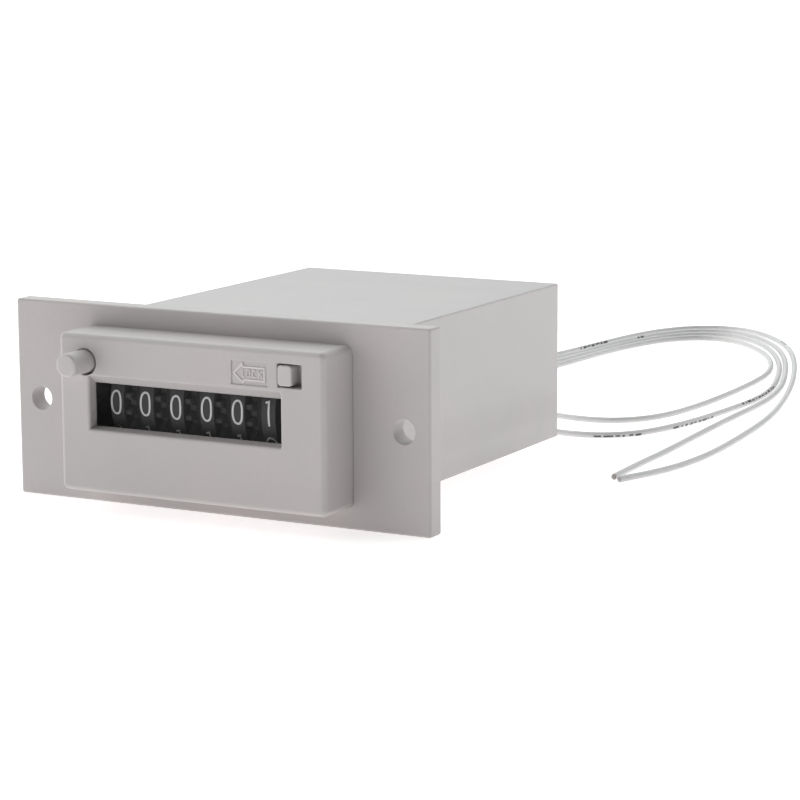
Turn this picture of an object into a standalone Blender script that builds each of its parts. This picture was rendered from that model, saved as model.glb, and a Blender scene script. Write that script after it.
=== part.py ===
"""Six-digit electromechanical panel counter with push reset and lock slide.

Run in Blender 4.5: blender --background --python part.py
Lengths are written in millimetres and turned into metres by MM.

Working frame, before the parent empty moves it: x to the right seen from the
front, y backwards with y = 0 on the front face of the mounting flange, z up
with z = 0 on the lower edge of the flange.
"""
import math

import bpy
import bmesh
import numpy as np
from mathutils import Matrix, Vector

MM = 0.001

# ---------------------------------------------------------------- dimensions
FLANGE_W, FLANGE_H, FLANGE_T = 75.0, 31.8, 3.5
HOLE_PITCH, HOLE_R = 66.0, 1.9
MID_Z = FLANGE_H / 2

CASE_X, CASE_Z0, CASE_Z1 = 24.8, 2.5, 29.3          # casing half width, floor, roof
CASE_BACK = 71.4                                     # rear face
CASE_WALL = 1.6
SEAM = 0.3                                           # joint line between mouldings
SEAT = 0.4                                           # depth of the casing seat in the flange

NOSE_X0, NOSE_X1 = -23.6, 24.2                       # raised nose of the bezel
NOSE_Z0, NOSE_Z1 = 3.4, 28.4
NOSE_Y = -8.4                                        # front face
NOSE_IN_Y = -6.46                                    # inside of the front wall

WIN_X0, WIN_X1, WIN_Z0, WIN_Z1 = -18.1, 16.55, 13.35, 21.95   # mouth of the window
WIN_IN = (-18.0, 16.4, 13.72, 20.6)                           # its inner edge

WHEEL_Y, WHEEL_Z = 4.3, 17.4                         # axis of the number wheels
WHEEL_R = 9.1
WHEEL_PITCH = 5.5
WHEEL_X1 = 12.24                                     # centre of the units digits
N_WHEELS = 6
BAND = 1.25                                          # half width of the digit band
GEAR_TEETH, GEAR_TIP, GEAR_ROOT = 20, 8.65, 7.1
GEAR_PHASE = 2.0                                     # degrees, from +y
PINION_TEETH, PINION_TIP, PINION_ROOT = 8, 3.75, 2.25
PINION_Y = 15.5
SHAFT_R = 1.5
RUN = 0.12                                           # running clearance in bores

BUTTON_X, BUTTON_Z, BUTTON_R = -18.85, 24.1, 1.85
BUTTON_HOLE_R = 2.2
BUTTON_TIP_Y = -13.4

SLOT = (16.02, 20.2, 22.7, 26.3)
COMB_Y, COMB_Z = 17.5, 7.0                           # reset comb shaft
COIL_X, COIL_Z = 2.0, 15.9
HINGE_Y, HINGE_Z = 26.2, 6.2                         # armature pin
PLATE_X = 21.0                                       # middle of the chassis side plates

WIRE_R = 0.55
WIRE_Z = 0.58                                        # a wire that lies on the table
EXIT_X, EXIT_Z = -14.0, 16.0
WIRE_GAP = 2.0

# ---------------------------------------------------------------- scene
for ob in list(bpy.data.objects):
    bpy.data.objects.remove(ob, do_unlink=True)

parts = bpy.data.collections.new("panel_counter")
bpy.context.scene.collection.children.link(parts)
cutters = bpy.data.collections.new("cutters")
bpy.context.scene.collection.children.link(cutters)

# the row frame has its origin at the middle of the footprint, cords left out
root = bpy.data.objects.new("panel_counter_frame", None)
root.location = (0.0, -(BUTTON_TIP_Y + CASE_BACK) / 2 * MM, 0.0)
parts.objects.link(root)


def material(name, rgb, rough, metal=0.0):
    m = bpy.data.materials.new(name)
    m.use_nodes = True
    b = m.node_tree.nodes["Principled BSDF"]
    b.inputs["Base Color"].default_value = (*rgb, 1.0)
    b.inputs["Roughness"].default_value = rough
    b.inputs["Metallic"].default_value = metal
    m.diffuse_color = (*rgb, 1.0)
    return m


GREY = (0.50, 0.49, 0.485)
BLACK = (0.022, 0.023, 0.026)
NATURAL = (0.80, 0.78, 0.70)
STEEL = (0.56, 0.56, 0.57)


# ---------------------------------------------------------------- tools
def finish(name, bm, col=None):
    bmesh.ops.recalc_face_normals(bm, faces=bm.faces)
    me = bpy.data.meshes.new(name)
    bm.to_mesh(me)
    bm.free()
    ob = bpy.data.objects.new(name, me)
    (col or cutters).objects.link(ob)
    return ob


def block(x0, x1, y0, y1, z0, z1, name="block"):
    """A box between two corners, in working millimetres."""
    bm = bmesh.new()
    bmesh.ops.create_cube(bm, size=1.0)
    bmesh.ops.scale(bm, vec=Vector((x1 - x0, y1 - y0, z1 - z0)) * MM, verts=bm.verts)
    bmesh.ops.translate(bm, vec=Vector((x0 + x1, y0 + y1, z0 + z1)) * (MM / 2), verts=bm.verts)
    return finish(name, bm)


def round_edges(ob, radius, seg, pick):
    """Round the edges for which pick(a, b) is true, a and b in millimetres."""
    bm = bmesh.new()
    bm.from_mesh(ob.data)
    edges = [e for e in bm.edges if pick(e.verts[0].co / MM, e.verts[1].co / MM)]
    bmesh.ops.bevel(bm, geom=edges, offset=radius * MM, segments=seg, profile=0.5, affect='EDGES')
    bm.to_mesh(ob.data)
    bm.free()
    return ob


TURN = {
    'X': Matrix(((0, 0, 1, 0), (1, 0, 0, 0), (0, 1, 0, 0), (0, 0, 0, 1))),
    'Y': Matrix(((0, 1, 0, 0), (0, 0, 1, 0), (1, 0, 0, 0), (0, 0, 0, 1))),
    'Z': Matrix.Identity(4),
}


def rod(axis, a0, a1, at, r, n=20, r1=None, name="rod", phase=0.0):
    """A cylinder or cone along an axis. at holds the two other coordinates, in X, Y, Z order."""
    bm = bmesh.new()
    bmesh.ops.create_cone(bm, cap_ends=True, segments=n, radius1=r * MM,
                          radius2=(r if r1 is None else r1) * MM, depth=(a1 - a0) * MM)
    bmesh.ops.rotate(bm, matrix=Matrix.Rotation(math.radians(phase), 3, 'Z'), verts=bm.verts)
    bmesh.ops.translate(bm, vec=(0, 0, (a0 + a1) / 2 * MM), verts=bm.verts)
    bmesh.ops.transform(bm, matrix=TURN[axis], verts=bm.verts)
    shift = {'X': (0, at[0], at[1]), 'Y': (at[0], 0, at[1]), 'Z': (at[0], at[1], 0)}[axis]
    bmesh.ops.translate(bm, vec=Vector(shift) * MM, verts=bm.verts)
    return finish(name, bm)


def outline(points, axis, a0, a1, name="outline"):
    """A flat outline as a filled 2D curve, given thickness, then turned to an axis."""
    cu = bpy.data.curves.new(name, 'CURVE')
    cu.dimensions = '2D'
    cu.fill_mode = 'BOTH'
    cu.extrude = (a1 - a0) / 2 * MM
    sp = cu.splines.new('POLY')
    sp.points.add(len(points) - 1)
    for p, (u, v) in zip(sp.points, points):
        p.co = (u * MM, v * MM, 0, 1)
    sp.use_cyclic_u = True
    tmp = bpy.data.objects.new(name, cu)
    cutters.objects.link(tmp)
    dg = bpy.context.evaluated_depsgraph_get()
    me = bpy.data.meshes.new_from_object(tmp.evaluated_get(dg))
    bpy.data.objects.remove(tmp, do_unlink=True)
    bm = bmesh.new()
    bm.from_mesh(me)
    bpy.data.meshes.remove(me)
    bmesh.ops.remove_doubles(bm, verts=bm.verts, dist=1e-6)
    bmesh.ops.translate(bm, vec=(0, 0, (a0 + a1) / 2 * MM), verts=bm.verts)
    bmesh.ops.transform(bm, matrix=TURN[axis], verts=bm.verts)
    return finish(name, bm)


def loft(rings, name="loft"):
    """A closed skin through rings with the same number of points."""
    bm = bmesh.new()
    rows = [[bm.verts.new(Vector(p) * MM) for p in ring] for ring in rings]
    for a, b in zip(rows, rows[1:]):
        for i in range(len(a)):
            j = (i + 1) % len(a)
            bm.faces.new((a[i], a[j], b[j], b[i]))
    bm.faces.new(rows[0])
    bm.faces.new(list(reversed(rows[-1])))
    return finish(name, bm)


def boolean(ob, other, operation):
    mod = ob.modifiers.new("cut", 'BOOLEAN')
    mod.operation = operation
    mod.solver = 'EXACT'
    mod.object = other
    dg = bpy.context.evaluated_depsgraph_get()
    me = bpy.data.meshes.new_from_object(ob.evaluated_get(dg))
    ob.modifiers.clear()
    old = ob.data
    ob.data = me
    bpy.data.meshes.remove(old)
    bpy.data.objects.remove(other, do_unlink=True)
    return ob


def cut(ob, *others):
    for o in others:
        boolean(ob, o, 'DIFFERENCE')
    return ob


def join(ob, *others):
    for o in others:
        boolean(ob, o, 'UNION')
    return ob


def moved(ob, x=0.0, y=0.0, z=0.0):
    ob.data.transform(Matrix.Translation(Vector((x, y, z)) * MM))
    return ob


def node(ob, name, mat, origin, smooth=30.0):
    """Give a finished solid its name, material, own origin and parent."""
    for c in list(ob.users_collection):
        c.objects.unlink(ob)
    parts.objects.link(ob)
    ob.name = name
    ob.data.name = name
    ob.data.transform(Matrix.Translation(-Vector(origin) * MM))
    ob.location = Vector(origin) * MM
    ob.parent = root
    ob.data.materials.clear()
    ob.data.materials.append(mat)
    ob.data.shade_smooth()
    ob.data.set_sharp_from_angle(angle=math.radians(smooth))
    return ob


def copy_of(src, name, origin):
    ob = bpy.data.objects.new(name, src.data)
    parts.objects.link(ob)
    ob.location = Vector(origin) * MM
    ob.rotation_euler = src.rotation_euler
    ob.parent = root
    return ob


# ---------------------------------------------------------------- bezel
def rect_ring(x0, x1, z0, z1, y):
    return [(x0, y, z0), (x1, y, z0), (x1, y, z1), (x0, y, z1)]


def make_bezel():
    plate = block(-FLANGE_W / 2, FLANGE_W / 2, 0, FLANGE_T, 0, FLANGE_H)
    round_edges(plate, 0.45, 2, lambda a, b: True)
    # shallow seat in the back that the casing's mouth stands in
    cut(plate, block(-CASE_X - 0.3, CASE_X + 0.3, FLANGE_T - SEAT, FLANGE_T + 1, CASE_Z0 - 0.3, CASE_Z1 + 0.3))
    nose = block(NOSE_X0, NOSE_X1, NOSE_Y, 1.0, NOSE_Z0, NOSE_Z1)
    round_edges(nose, 1.1, 3, lambda a, b: abs(a.y - b.y) > 1)
    round_edges(nose, 0.9, 3, lambda a, b: a.y < NOSE_Y + 0.01 and b.y < NOSE_Y + 0.01)
    body = join(plate, nose)
    # spigot that enters the casing, open at the top over the number wheels
    spigot = block(-22.9, 22.9, 2.5, 7.5, 4.4, 27.4)
    cut(spigot, block(-17.5, 16.0, FLANGE_T, 8.0, 20.0, 28.0))
    join(body, spigot)
    # hollow for the mechanism
    cut(body, block(-22.2, 22.8, NOSE_IN_Y, 3.0, 4.8, 27.05))
    cut(body, block(-21.7, 21.7, 2.5, 8.5, 5.5, 27.05))
    cut(body, block(-21.7, 21.7, 7.0, 8.5, 5.5, 26.3))
    # window: steep at the top, nearly straight at the sides
    x0, x1, z0, z1 = WIN_IN
    cut(body, loft([
        rect_ring(WIN_X0 - 0.55, WIN_X1 + 0.55, WIN_Z0 - 0.5, WIN_Z1 + 0.4, NOSE_Y - 0.25),
        rect_ring(WIN_X0 - 0.3, WIN_X1 + 0.3, WIN_Z0 - 0.25, WIN_Z1 + 0.2, NOSE_Y),
        rect_ring(WIN_X0, WIN_X1, WIN_Z0, WIN_Z1, NOSE_Y + 0.3),
        rect_ring(x0, x1, z0, z1, NOSE_IN_Y),
        rect_ring(x0, x1, z0, z1, NOSE_IN_Y + 1.0)]))
    # reset button hole, lock slot, arrow panel
    cut(body, rod('Y', NOSE_Y - 1, NOSE_IN_Y + 1, (BUTTON_X, BUTTON_Z), BUTTON_HOLE_R, 32))
    cut(body, block(SLOT[0], SLOT[1], NOSE_Y - 1, NOSE_IN_Y + 1, SLOT[2], SLOT[3]))
    cut(body, block(7.97, 14.3, NOSE_Y - 1, NOSE_Y + 0.4, 22.6, 26.25))
    arrow = outline([(8.5, 24.5), (10.1, 26.1), (10.1, 25.5), (13.7, 25.5), (13.7, 23.4),
                     (10.1, 23.4), (10.1, 22.85)], 'Z', 0, 1)
    cut(arrow, outline([(9.0, 24.48), (9.8, 25.3), (9.8, 25.2), (13.4, 25.2), (13.4, 23.7),
                        (9.8, 23.7), (9.8, 23.6)], 'Z', -0.5, 1.5))
    arrow.data.transform(Matrix.Rotation(math.radians(90), 4, 'X'))
    moved(arrow, y=NOSE_Y + 1.05)
    join(body, arrow)
    # mounting holes
    for s in (-1, 1):
        cut(body, rod('Y', -1, FLANGE_T + 1, (s * HOLE_PITCH / 2, MID_Z), HOLE_R, 32))
    # posts for the chassis screws, with their pilot holes
    for s in (-1, 1):
        join(body, rod('Y', NOSE_IN_Y - 0.8, -1.6, (s * 18.9, 7.3), 1.7, 16))
        cut(body, rod('Y', -5.8, -1.0, (s * 18.9, 7.3), 0.85, 12))
    return node(body, "front_bezel", material("light_grey_abs", GREY, 0.5), (0, 0, MID_Z))


def make_casing():
    body = block(-CASE_X, CASE_X, FLANGE_T - SEAT + SEAM, CASE_BACK, CASE_Z0, CASE_Z1)
    round_edges(body, 0.3, 2, lambda a, b: abs(a.y - b.y) > 1 or (a.y > 70 and b.y > 70))
    cut(body, block(-CASE_X + CASE_WALL, CASE_X - CASE_WALL, 0, CASE_BACK - CASE_WALL,
                    CASE_Z0 + CASE_WALL, CASE_Z1 - CASE_WALL))
    for x in (-20.5, 17.5):
        join(body, rod('Y', 68.2, 70.5, (x, MID_Z), 3.0, 20))
        cut(body, rod('Y', 60, 80, (x, MID_Z), 1.45, 16),
            rod('Y', CASE_BACK - 1.5, 80, (x, MID_Z), 2.5, 20))
    cut(body, rod('Y', 60, 80, (EXIT_X, EXIT_Z), 2.6, 20))
    return node(body, "rear_casing", material("casing_abs", GREY, 0.5), (0, CASE_BACK / 2, MID_Z))


# ---------------------------------------------------------------- chassis
def make_chassis():
    body = block(-PLATE_X - 0.4, PLATE_X + 0.4, 9.0, 67.7, 5.5, 26.2)
    cut(body, block(-PLATE_X + 0.4, PLATE_X - 0.4, 0, 66.9, 0, 40))
    for s in (-1, 1):
        xi, xo = sorted((s * (PLATE_X - 0.4), s * (PLATE_X + 0.4)))
        join(body, block(xi, xo, -3.6, 9.5, 10.2, 20.8))
        join(body, block(xi, xo, -1.3, 9.5, 5.9, 10.5))
        xi, xo = sorted((s * 16.9, s * (PLATE_X + 0.1)))
        join(body, block(xi, xo, -1.3, -0.5, 5.9, 9.9))
        cut(body, rod('Y', -3, 2, (s * 18.9, 7.3), 1.2, 16))
    # guide tab for the reset stem, bent in from the left plate
    join(body, block(-PLATE_X - 0.4, -PLATE_X + 0.4, 4.6, 9.5, 20.5, 26.2))
    join(body, block(-PLATE_X + 0.1, -17.0, 4.6, 5.4, 22.4, 26.2))
    cut(body, rod('Y', 3, 7, (BUTTON_X, BUTTON_Z), 1.1 + RUN + 0.1, 16))
    # bores for the shafts
    cut(body, rod('X', -30, 30, (WHEEL_Y, WHEEL_Z), SHAFT_R + RUN, 24))
    cut(body, rod('X', -30, 30, (PINION_Y, WHEEL_Z), 0.75 + RUN, 16))
    cut(body, rod('X', -30, 30, (COMB_Y, COMB_Z), 1.0 + RUN, 16))
    # rear plate: casing screws, core screw, leads
    for x in (-20.5, 17.5):
        cut(body, rod('Y', 60, 70, (x, MID_Z), 1.25, 16))
    cut(body, rod('Y', 60, 70, (COIL_X, COIL_Z), 1.75, 16))
    cut(body, rod('Y', 60, 70, (EXIT_X, EXIT_Z), 3.4, 20))
    return node(body, "chassis_frame", material("zinc_plated_steel", STEEL, 0.35, 1.0),
                (0, 38.0, MID_Z))


# ---------------------------------------------------------------- number wheels
def toothed(n, tip, root, tip_half, root_half, phase):
    """Outline of a wheel with n teeth, first tooth at angle phase, all angles in degrees."""
    pts = []
    for k in range(n):
        c = phase + 360.0 / n * k
        for r, a in ((root, -root_half), (tip, -tip_half), (tip, tip_half), (root, root_half)):
            t = math.radians(c + a)
            pts.append((r * math.cos(t), r * math.sin(t)))
    return pts


def heart(r_min, r_max, phase, n=16):
    pts = []
    for k in range(n):
        t = 360.0 * k / n
        f = min(t, 360.0 - t) / 180.0
        a = math.radians(t + phase)
        r = r_min + (r_max - r_min) * f
        pts.append((r * math.cos(a), r * math.sin(a)))
    return pts


def make_wheel(kind):
    """A number wheel about the x axis, centred on its digit band."""
    body = rod('X', -BAND, BAND, (0, 0), WHEEL_R, 40, phase=4.5)
    if kind != 'units':
        tooth0 = GEAR_PHASE + 180.0 / GEAR_TEETH
        join(body, outline(toothed(GEAR_TEETH, GEAR_TIP, GEAR_ROOT, 2.1, 5.6, tooth0),
                           'X', BAND - 0.4, BAND + 1.0))
    else:
        join(body, outline(toothed(10, 6.4, 4.6, 1.0, 15.0, 9.0), 'X', BAND - 0.4, BAND + 1.2))
    if kind != 'last':
        # two-tooth carry sector
        sector = rod('X', -BAND - 0.8, -BAND + 0.4, (0, 0), 6.0, 20)
        for a in (-9.0, 9.0):
            c = math.radians(a)
            pts = []
            for r, h in ((5.5, -5.0), (7.05, -2.5), (7.05, 2.5), (5.5, 5.0)):
                t = c + math.radians(h)
                pts.append((r * math.cos(t), r * math.sin(t)))
            join(sector, outline(pts, 'X', -BAND - 0.8, -BAND + 0.4))
        join(body, sector)
    join(body, outline(heart(2.9, 4.5, 250.0), 'X', -BAND - 1.5, -BAND + 0.3))
    join(body, rod('X', -BAND - 1.7, BAND + 1.1, (0, 0), 2.5, 16))
    cut(body, rod('X', -5, 5, (0, 0), SHAFT_R + RUN, 16))
    return body


def make_wheels():
    black = material("black_wheel_plastic", BLACK, 0.45)
    shapes = {}
    for k in range(1, N_WHEELS + 1):
        x = WHEEL_X1 - WHEEL_PITCH * (k - 1)
        kind = 'units' if k == 1 else ('last' if k == N_WHEELS else 'mid')
        at = (x, WHEEL_Y, WHEEL_Z)
        if kind in shapes:
            copy_of(shapes[kind], "number_wheel_%d" % k, at)
            continue
        ob = node(make_wheel(kind), "number_wheel_%d" % k, black, (0, 0, 0))
        ob.location = Vector(at) * MM
        shapes[kind] = ob
    # the units wheel has counted one: a tenth of a turn, front face upwards
    shapes['units'].rotation_euler = (math.radians(-36.0), 0.0, 0.0)


def make_pinions():
    ivory = material("pinion_acetal", NATURAL, 0.4)
    first = None
    for k in range(1, N_WHEELS):
        x = WHEEL_X1 - WHEEL_PITCH * (k - 1) - 2.75
        at = (x, PINION_Y, WHEEL_Z)
        name = "transfer_pinion_%d" % k
        if first:
            copy_of(first, name, at)
            continue
        p0 = 180.0 - GEAR_PHASE * GEAR_TEETH / PINION_TEETH
        body = outline(toothed(PINION_TEETH, PINION_TIP, PINION_ROOT, 5.5, 15.0, p0), 'X', -1.25, -0.15)
        join(body, outline(toothed(4, PINION_TIP, PINION_ROOT, 5.5, 15.0, p0), 'X', -0.4, 1.25))
        cut(body, rod('X', -3, 3, (0, 0), 0.75 + RUN, 16))
        first = node(body, name, ivory, (0, 0, 0))
        first.location = Vector(at) * MM


# ---------------------------------------------------------------- controls
def make_button():
    body = rod('Y', BUTTON_TIP_Y, -5.5, (BUTTON_X, BUTTON_Z), BUTTON_R, 24)
    round_edges(body, 0.45, 3, lambda a, b: a.y < BUTTON_TIP_Y + 0.01 and b.y < BUTTON_TIP_Y + 0.01)
    join(body, rod('Y', NOSE_IN_Y + 0.3, -5.3, (BUTTON_X, BUTTON_Z), 2.35, 24))
    join(body, rod('Y', -5.7, COMB_Y - 1.2, (BUTTON_X, BUTTON_Z), 1.1, 16))
    return node(body, "reset_button", material("button_abs", GREY, 0.45),
                (BUTTON_X, NOSE_Y, BUTTON_Z))


def coil_points(y0, y1, r, turns, at, per=10):
    """Points of a helix along y, in millimetres."""
    n = int(turns * per)
    return [(at[0] + r * math.cos(2 * math.pi * i / per), y0 + (y1 - y0) * i / n,
             at[1] + r * math.sin(2 * math.pi * i / per)) for i in range(n + 1)]


def tube(name, pts, r, mat, res=2):
    cu = bpy.data.curves.new(name, 'CURVE')
    cu.dimensions = '3D'
    cu.bevel_depth = r * MM
    cu.bevel_resolution = res
    cu.use_fill_caps = True
    sp = cu.splines.new('POLY')
    sp.points.add(len(pts) - 1)
    o = Vector(pts[0])
    for p, q in zip(sp.points, pts):
        p.co = (*((Vector(q) - o) * MM), 1)
    ob = bpy.data.objects.new(name, cu)
    ob.location = o * MM
    ob.parent = root
    cu.materials.append(mat)
    parts.objects.link(ob)
    return ob


def make_lock():
    cap = block(16.17, 18.6, NOSE_Y - 0.25, -5.6, 22.95, 26.1)
    round_edges(cap, 0.35, 3, lambda a, b: abs(a.y - b.y) > 1)
    round_edges(cap, 0.25, 2, lambda a, b: a.y < -8.5 and b.y < -8.5)
    # shoe behind the front wall, and the arm that reaches to the reset button
    join(cap, block(14.2, 20.7, NOSE_IN_Y + 0.3, -5.1, 23.1, 26.7))
    join(cap, block(-15.9, 14.6, NOSE_IN_Y + 0.3, -5.3, 24.9, 26.7))
    return node(cap, "lock_slider", material("slider_abs", GREY, 0.45), (17.4, NOSE_Y, 24.5))


def make_comb():
    body = rod('X', -20.0, 13.0, (COMB_Y, COMB_Z), 1.9, 20)
    for k in range(1, N_WHEELS + 1):
        x = WHEEL_X1 - WHEEL_PITCH * (k - 1) - 2.9
        # hammer from the sleeve towards the cam, in the slot between two wheels
        pts = [(COMB_Y - 0.5, COMB_Z - 1.2), (COMB_Y - 0.5, COMB_Z + 1.4),
               (6.6, 12.0), (5.4, 11.4), (6.4, 9.8)]
        join(body, outline(pts, 'X', x, x + 0.55))
    # arm up to the reset stem
    join(body, block(-20.0, -17.8, COMB_Y - 0.9, COMB_Y + 0.9, COMB_Z, 25.6))
    cut(body, rod('X', -30, 30, (COMB_Y, COMB_Z), 1.0 + RUN, 16))
    return node(body, "reset_comb", material("comb_acetal", NATURAL, 0.45),
                (-3.0, COMB_Y, COMB_Z))


# ---------------------------------------------------------------- coil and armature
def make_magnet():
    ax = (COIL_X, COIL_Z)
    bobbin = rod('Y', 31.0, 61.0, ax, 3.9, 20)
    join(bobbin, rod('Y', 31.0, 32.0, ax, 9.0, 32), rod('Y', 60.0, 61.0, ax, 9.0, 32))
    cut(bobbin, rod('Y', 20, 70, ax, 3.3, 20))
    node(bobbin, "coil_bobbin", material("bobbin_nylon", NATURAL, 0.5), (COIL_X, 46, COIL_Z))

    wind = rod('Y', 32.3, 59.7, ax, 7.9, 32)
    cut(wind, rod('Y', 20, 70, ax, 4.25, 20))
    node(wind, "coil_winding", material("coil_tape", (0.55, 0.28, 0.06), 0.4), (COIL_X, 46, COIL_Z))

    core = rod('Y', 29.2, 64.3, ax, 3.0, 20)
    join(core, rod('Y', 29.2, 30.6, ax, 4.2, 20))
    cut(core, rod('Y', 58.0, 70, ax, 1.55, 12))
    node(core, "magnet_core", material("soft_iron", STEEL, 0.4, 1.0), (COIL_X, 46, COIL_Z))

    # L-shaped yoke: back plate, floor plate, two ears for the armature pin
    yoke = block(COIL_X - 9, COIL_X + 9, 64.6, 66.6, 5.0, 25.5)
    join(yoke, block(COIL_X - 9, COIL_X + 9, 28.8, 65.0, 4.6, 6.2))
    for s in (-1, 1):
        xi, xo = sorted((COIL_X + s * 9.0, COIL_X + s * 8.0))
        join(yoke, block(xi, xo, 24.4, 30.0, 4.6, 8.2))
    cut(yoke, rod('X', -30, 30, (HINGE_Y, HINGE_Z), 0.75 + RUN, 16))
    cut(yoke, rod('Y', 60, 70, ax, 1.75, 16))
    node(yoke, "magnet_yoke", material("yoke_steel", STEEL, 0.4, 1.0), (COIL_X, 60, 6))

    pin = rod('X', COIL_X - 9.3, COIL_X + 9.3, (HINGE_Y, HINGE_Z), 0.75, 14)
    node(pin, "armature_pin", material("pin_steel", STEEL, 0.25, 1.0), (COIL_X, HINGE_Y, HINGE_Z))

    # armature plate with a rolled hinge barrel
    arm = block(COIL_X - 7.4, COIL_X + 7.4, 26.7, 28.1, 6.0, 25.0)
    join(arm, rod('X', COIL_X - 7.4, COIL_X + 7.4, (HINGE_Y, HINGE_Z), 1.55, 16))
    cut(arm, rod('X', -30, 30, (HINGE_Y, HINGE_Z), 0.75 + RUN, 16))
    # tail that carries the drive lever
    join(arm, block(COIL_X + 6.0, 16.4, 26.7, 28.1, 19.5, 25.0))
    node(arm, "armature_plate", material("armature_iron", STEEL, 0.4, 1.0),
         (COIL_X, HINGE_Y, HINGE_Z))

    # drive lever: two pallets that stand just clear of the star wheel
    x0, x1 = WHEEL_X1 + BAND + 0.1, WHEEL_X1 + BAND + 1.2
    pts = [(26.4, 24.6), (26.4, 20.0), (22.0, 21.4), (15.8, 21.4), (13.4, 20.4), (11.9, 18.8),
           (10.95, 19.3), (11.7, 21.9), (9.9, 23.2), (6.4, 24.2), (4.2, 24.25), (3.2, 23.95),
           (2.3, 24.3), (2.5, 25.2), (6.6, 25.3), (12.0, 24.9), (18.0, 24.6)]
    lever = outline(pts, 'X', x0, x1)
    join(lever, block(x0, 16.3, 25.4, 26.4, 20.0, 24.5))
    node(lever, "drive_lever", material("lever_acetal", NATURAL, 0.45),
         (x0, HINGE_Y, HINGE_Z))


# ---------------------------------------------------------------- shafts, springs, screws
def make_small_parts():
    bright = material("ground_steel", (0.62, 0.62, 0.63), 0.2, 1.0)
    spring = material("spring_steel", (0.50, 0.50, 0.51), 0.3, 1.0)
    screw = material("zinc_screw", (0.60, 0.60, 0.58), 0.3, 1.0)
    end = PLATE_X + 0.4
    node(rod('X', -end, end, (WHEEL_Y, WHEEL_Z), SHAFT_R, 24), "wheel_shaft", bright,
         (0, WHEEL_Y, WHEEL_Z))
    node(rod('X', -end, end, (PINION_Y, WHEEL_Z), 0.75, 14), "pinion_shaft", bright,
         (0, PINION_Y, WHEEL_Z))
    node(rod('X', -end, end, (COMB_Y, COMB_Z), 1.0, 16), "reset_shaft", bright,
         (0, COMB_Y, COMB_Z))
    tube("reset_spring", coil_points(-4.9, 4.1, 1.65, 6, (BUTTON_X, BUTTON_Z)), 0.22, spring, 1)
    tube("armature_spring", coil_points(28.6, 30.5, 1.4, 3, (COIL_X, 22.6)), 0.2, spring, 1)

    core_screw = rod('Y', 59.5, 68.2, (COIL_X, COIL_Z), 1.4, 14)
    join(core_screw, rod('Y', 68.0, 69.4, (COIL_X, COIL_Z), 2.7, 20, r1=2.3))
    cut(core_screw, block(COIL_X - 4, COIL_X + 4, 68.9, 71, COIL_Z - 0.35, COIL_Z + 0.35))
    node(core_screw, "core_screw", screw, (COIL_X, 68, COIL_Z))

    def cross_screw(name, x, z, y_tip, y_head, r, r_head, t_head):
        s = rod('Y', y_tip, y_head + 0.1, (x, z), r, 14)
        join(s, rod('Y', y_head, y_head + t_head, (x, z), r_head, 20, r1=r_head * 0.82))
        slot = 0.3
        cut(s, block(x - r_head * 0.62, x + r_head * 0.62, y_head + t_head - 0.55,
                     y_head + t_head + 1, z - slot, z + slot))
        cut(s, block(x - slot, x + slot, y_head + t_head - 0.55,
                     y_head + t_head + 1, z - r_head * 0.62, z + r_head * 0.62))
        return node(s, name, screw, (x, y_head, z))

    cross_screw("casing_screw_left", -20.5, MID_Z, 62.5, CASE_BACK - 1.4, 1.1, 2.15, 1.2)
    cross_screw("casing_screw_right", 17.5, MID_Z, 62.5, CASE_BACK - 1.4, 1.1, 2.15, 1.2)
    cross_screw("chassis_screw_left", -18.9, 7.3, -5.2, -0.3, 0.7, 1.5, 0.9)
    cross_screw("chassis_screw_right", 18.9, 7.3, -5.2, -0.3, 0.7, 1.5, 0.9)

    # rubber grommet: a turned profile about y, the two leads moulded through it
    g = rod('Y', 68.6, 72.2, (EXIT_X, EXIT_Z), 2.3, 24)
    join(g, rod('Y', CASE_BACK + 0.3, 72.4, (EXIT_X, EXIT_Z), 3.4, 24, r1=2.9))
    join(g, rod('Y', 68.6, 69.5, (EXIT_X, EXIT_Z), 3.1, 24))
    node(g, "lead_grommet", material("grommet_rubber", (0.30, 0.30, 0.30), 0.8),
         (EXIT_X, CASE_BACK, EXIT_Z))


# ---------------------------------------------------------------- leads
def smooth_route(ctrl, n):
    """n points, evenly spaced along a natural cubic spline through the control points."""
    c = np.array(ctrl, float)
    t = np.concatenate([[0.0], np.cumsum(np.linalg.norm(np.diff(c, axis=0), axis=1) ** 0.5)])
    h = np.diff(t)
    m = len(c)
    a = np.zeros((m, m))
    b = np.zeros((m, c.shape[1]))
    a[0, 0] = a[-1, -1] = 1.0
    for i in range(1, m - 1):
        a[i, i - 1], a[i, i], a[i, i + 1] = h[i - 1], 2 * (h[i - 1] + h[i]), h[i]
        b[i] = 6 * ((c[i + 1] - c[i]) / h[i] - (c[i] - c[i - 1]) / h[i - 1])
    k = np.linalg.solve(a, b)
    u = np.linspace(0.0, t[-1], 4000)
    j = np.clip(np.searchsorted(t, u, side='right') - 1, 0, m - 2)
    d0, d1, hj = (u - t[j])[:, None], (t[j + 1] - u)[:, None], h[j][:, None]
    p = (k[j] * d1 ** 3 + k[j + 1] * d0 ** 3) / (6 * hj) \
        + (c[j] / hj - k[j] * hj / 6) * d1 + (c[j + 1] / hj - k[j + 1] * hj / 6) * d0
    s = np.concatenate([[0.0], np.cumsum(np.linalg.norm(np.diff(p, axis=0), axis=1))])
    q = np.linspace(0.0, s[-1], n)
    return [tuple(float(np.interp(v, s, p[:, i])) for i in range(3)) for v in q]


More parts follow.
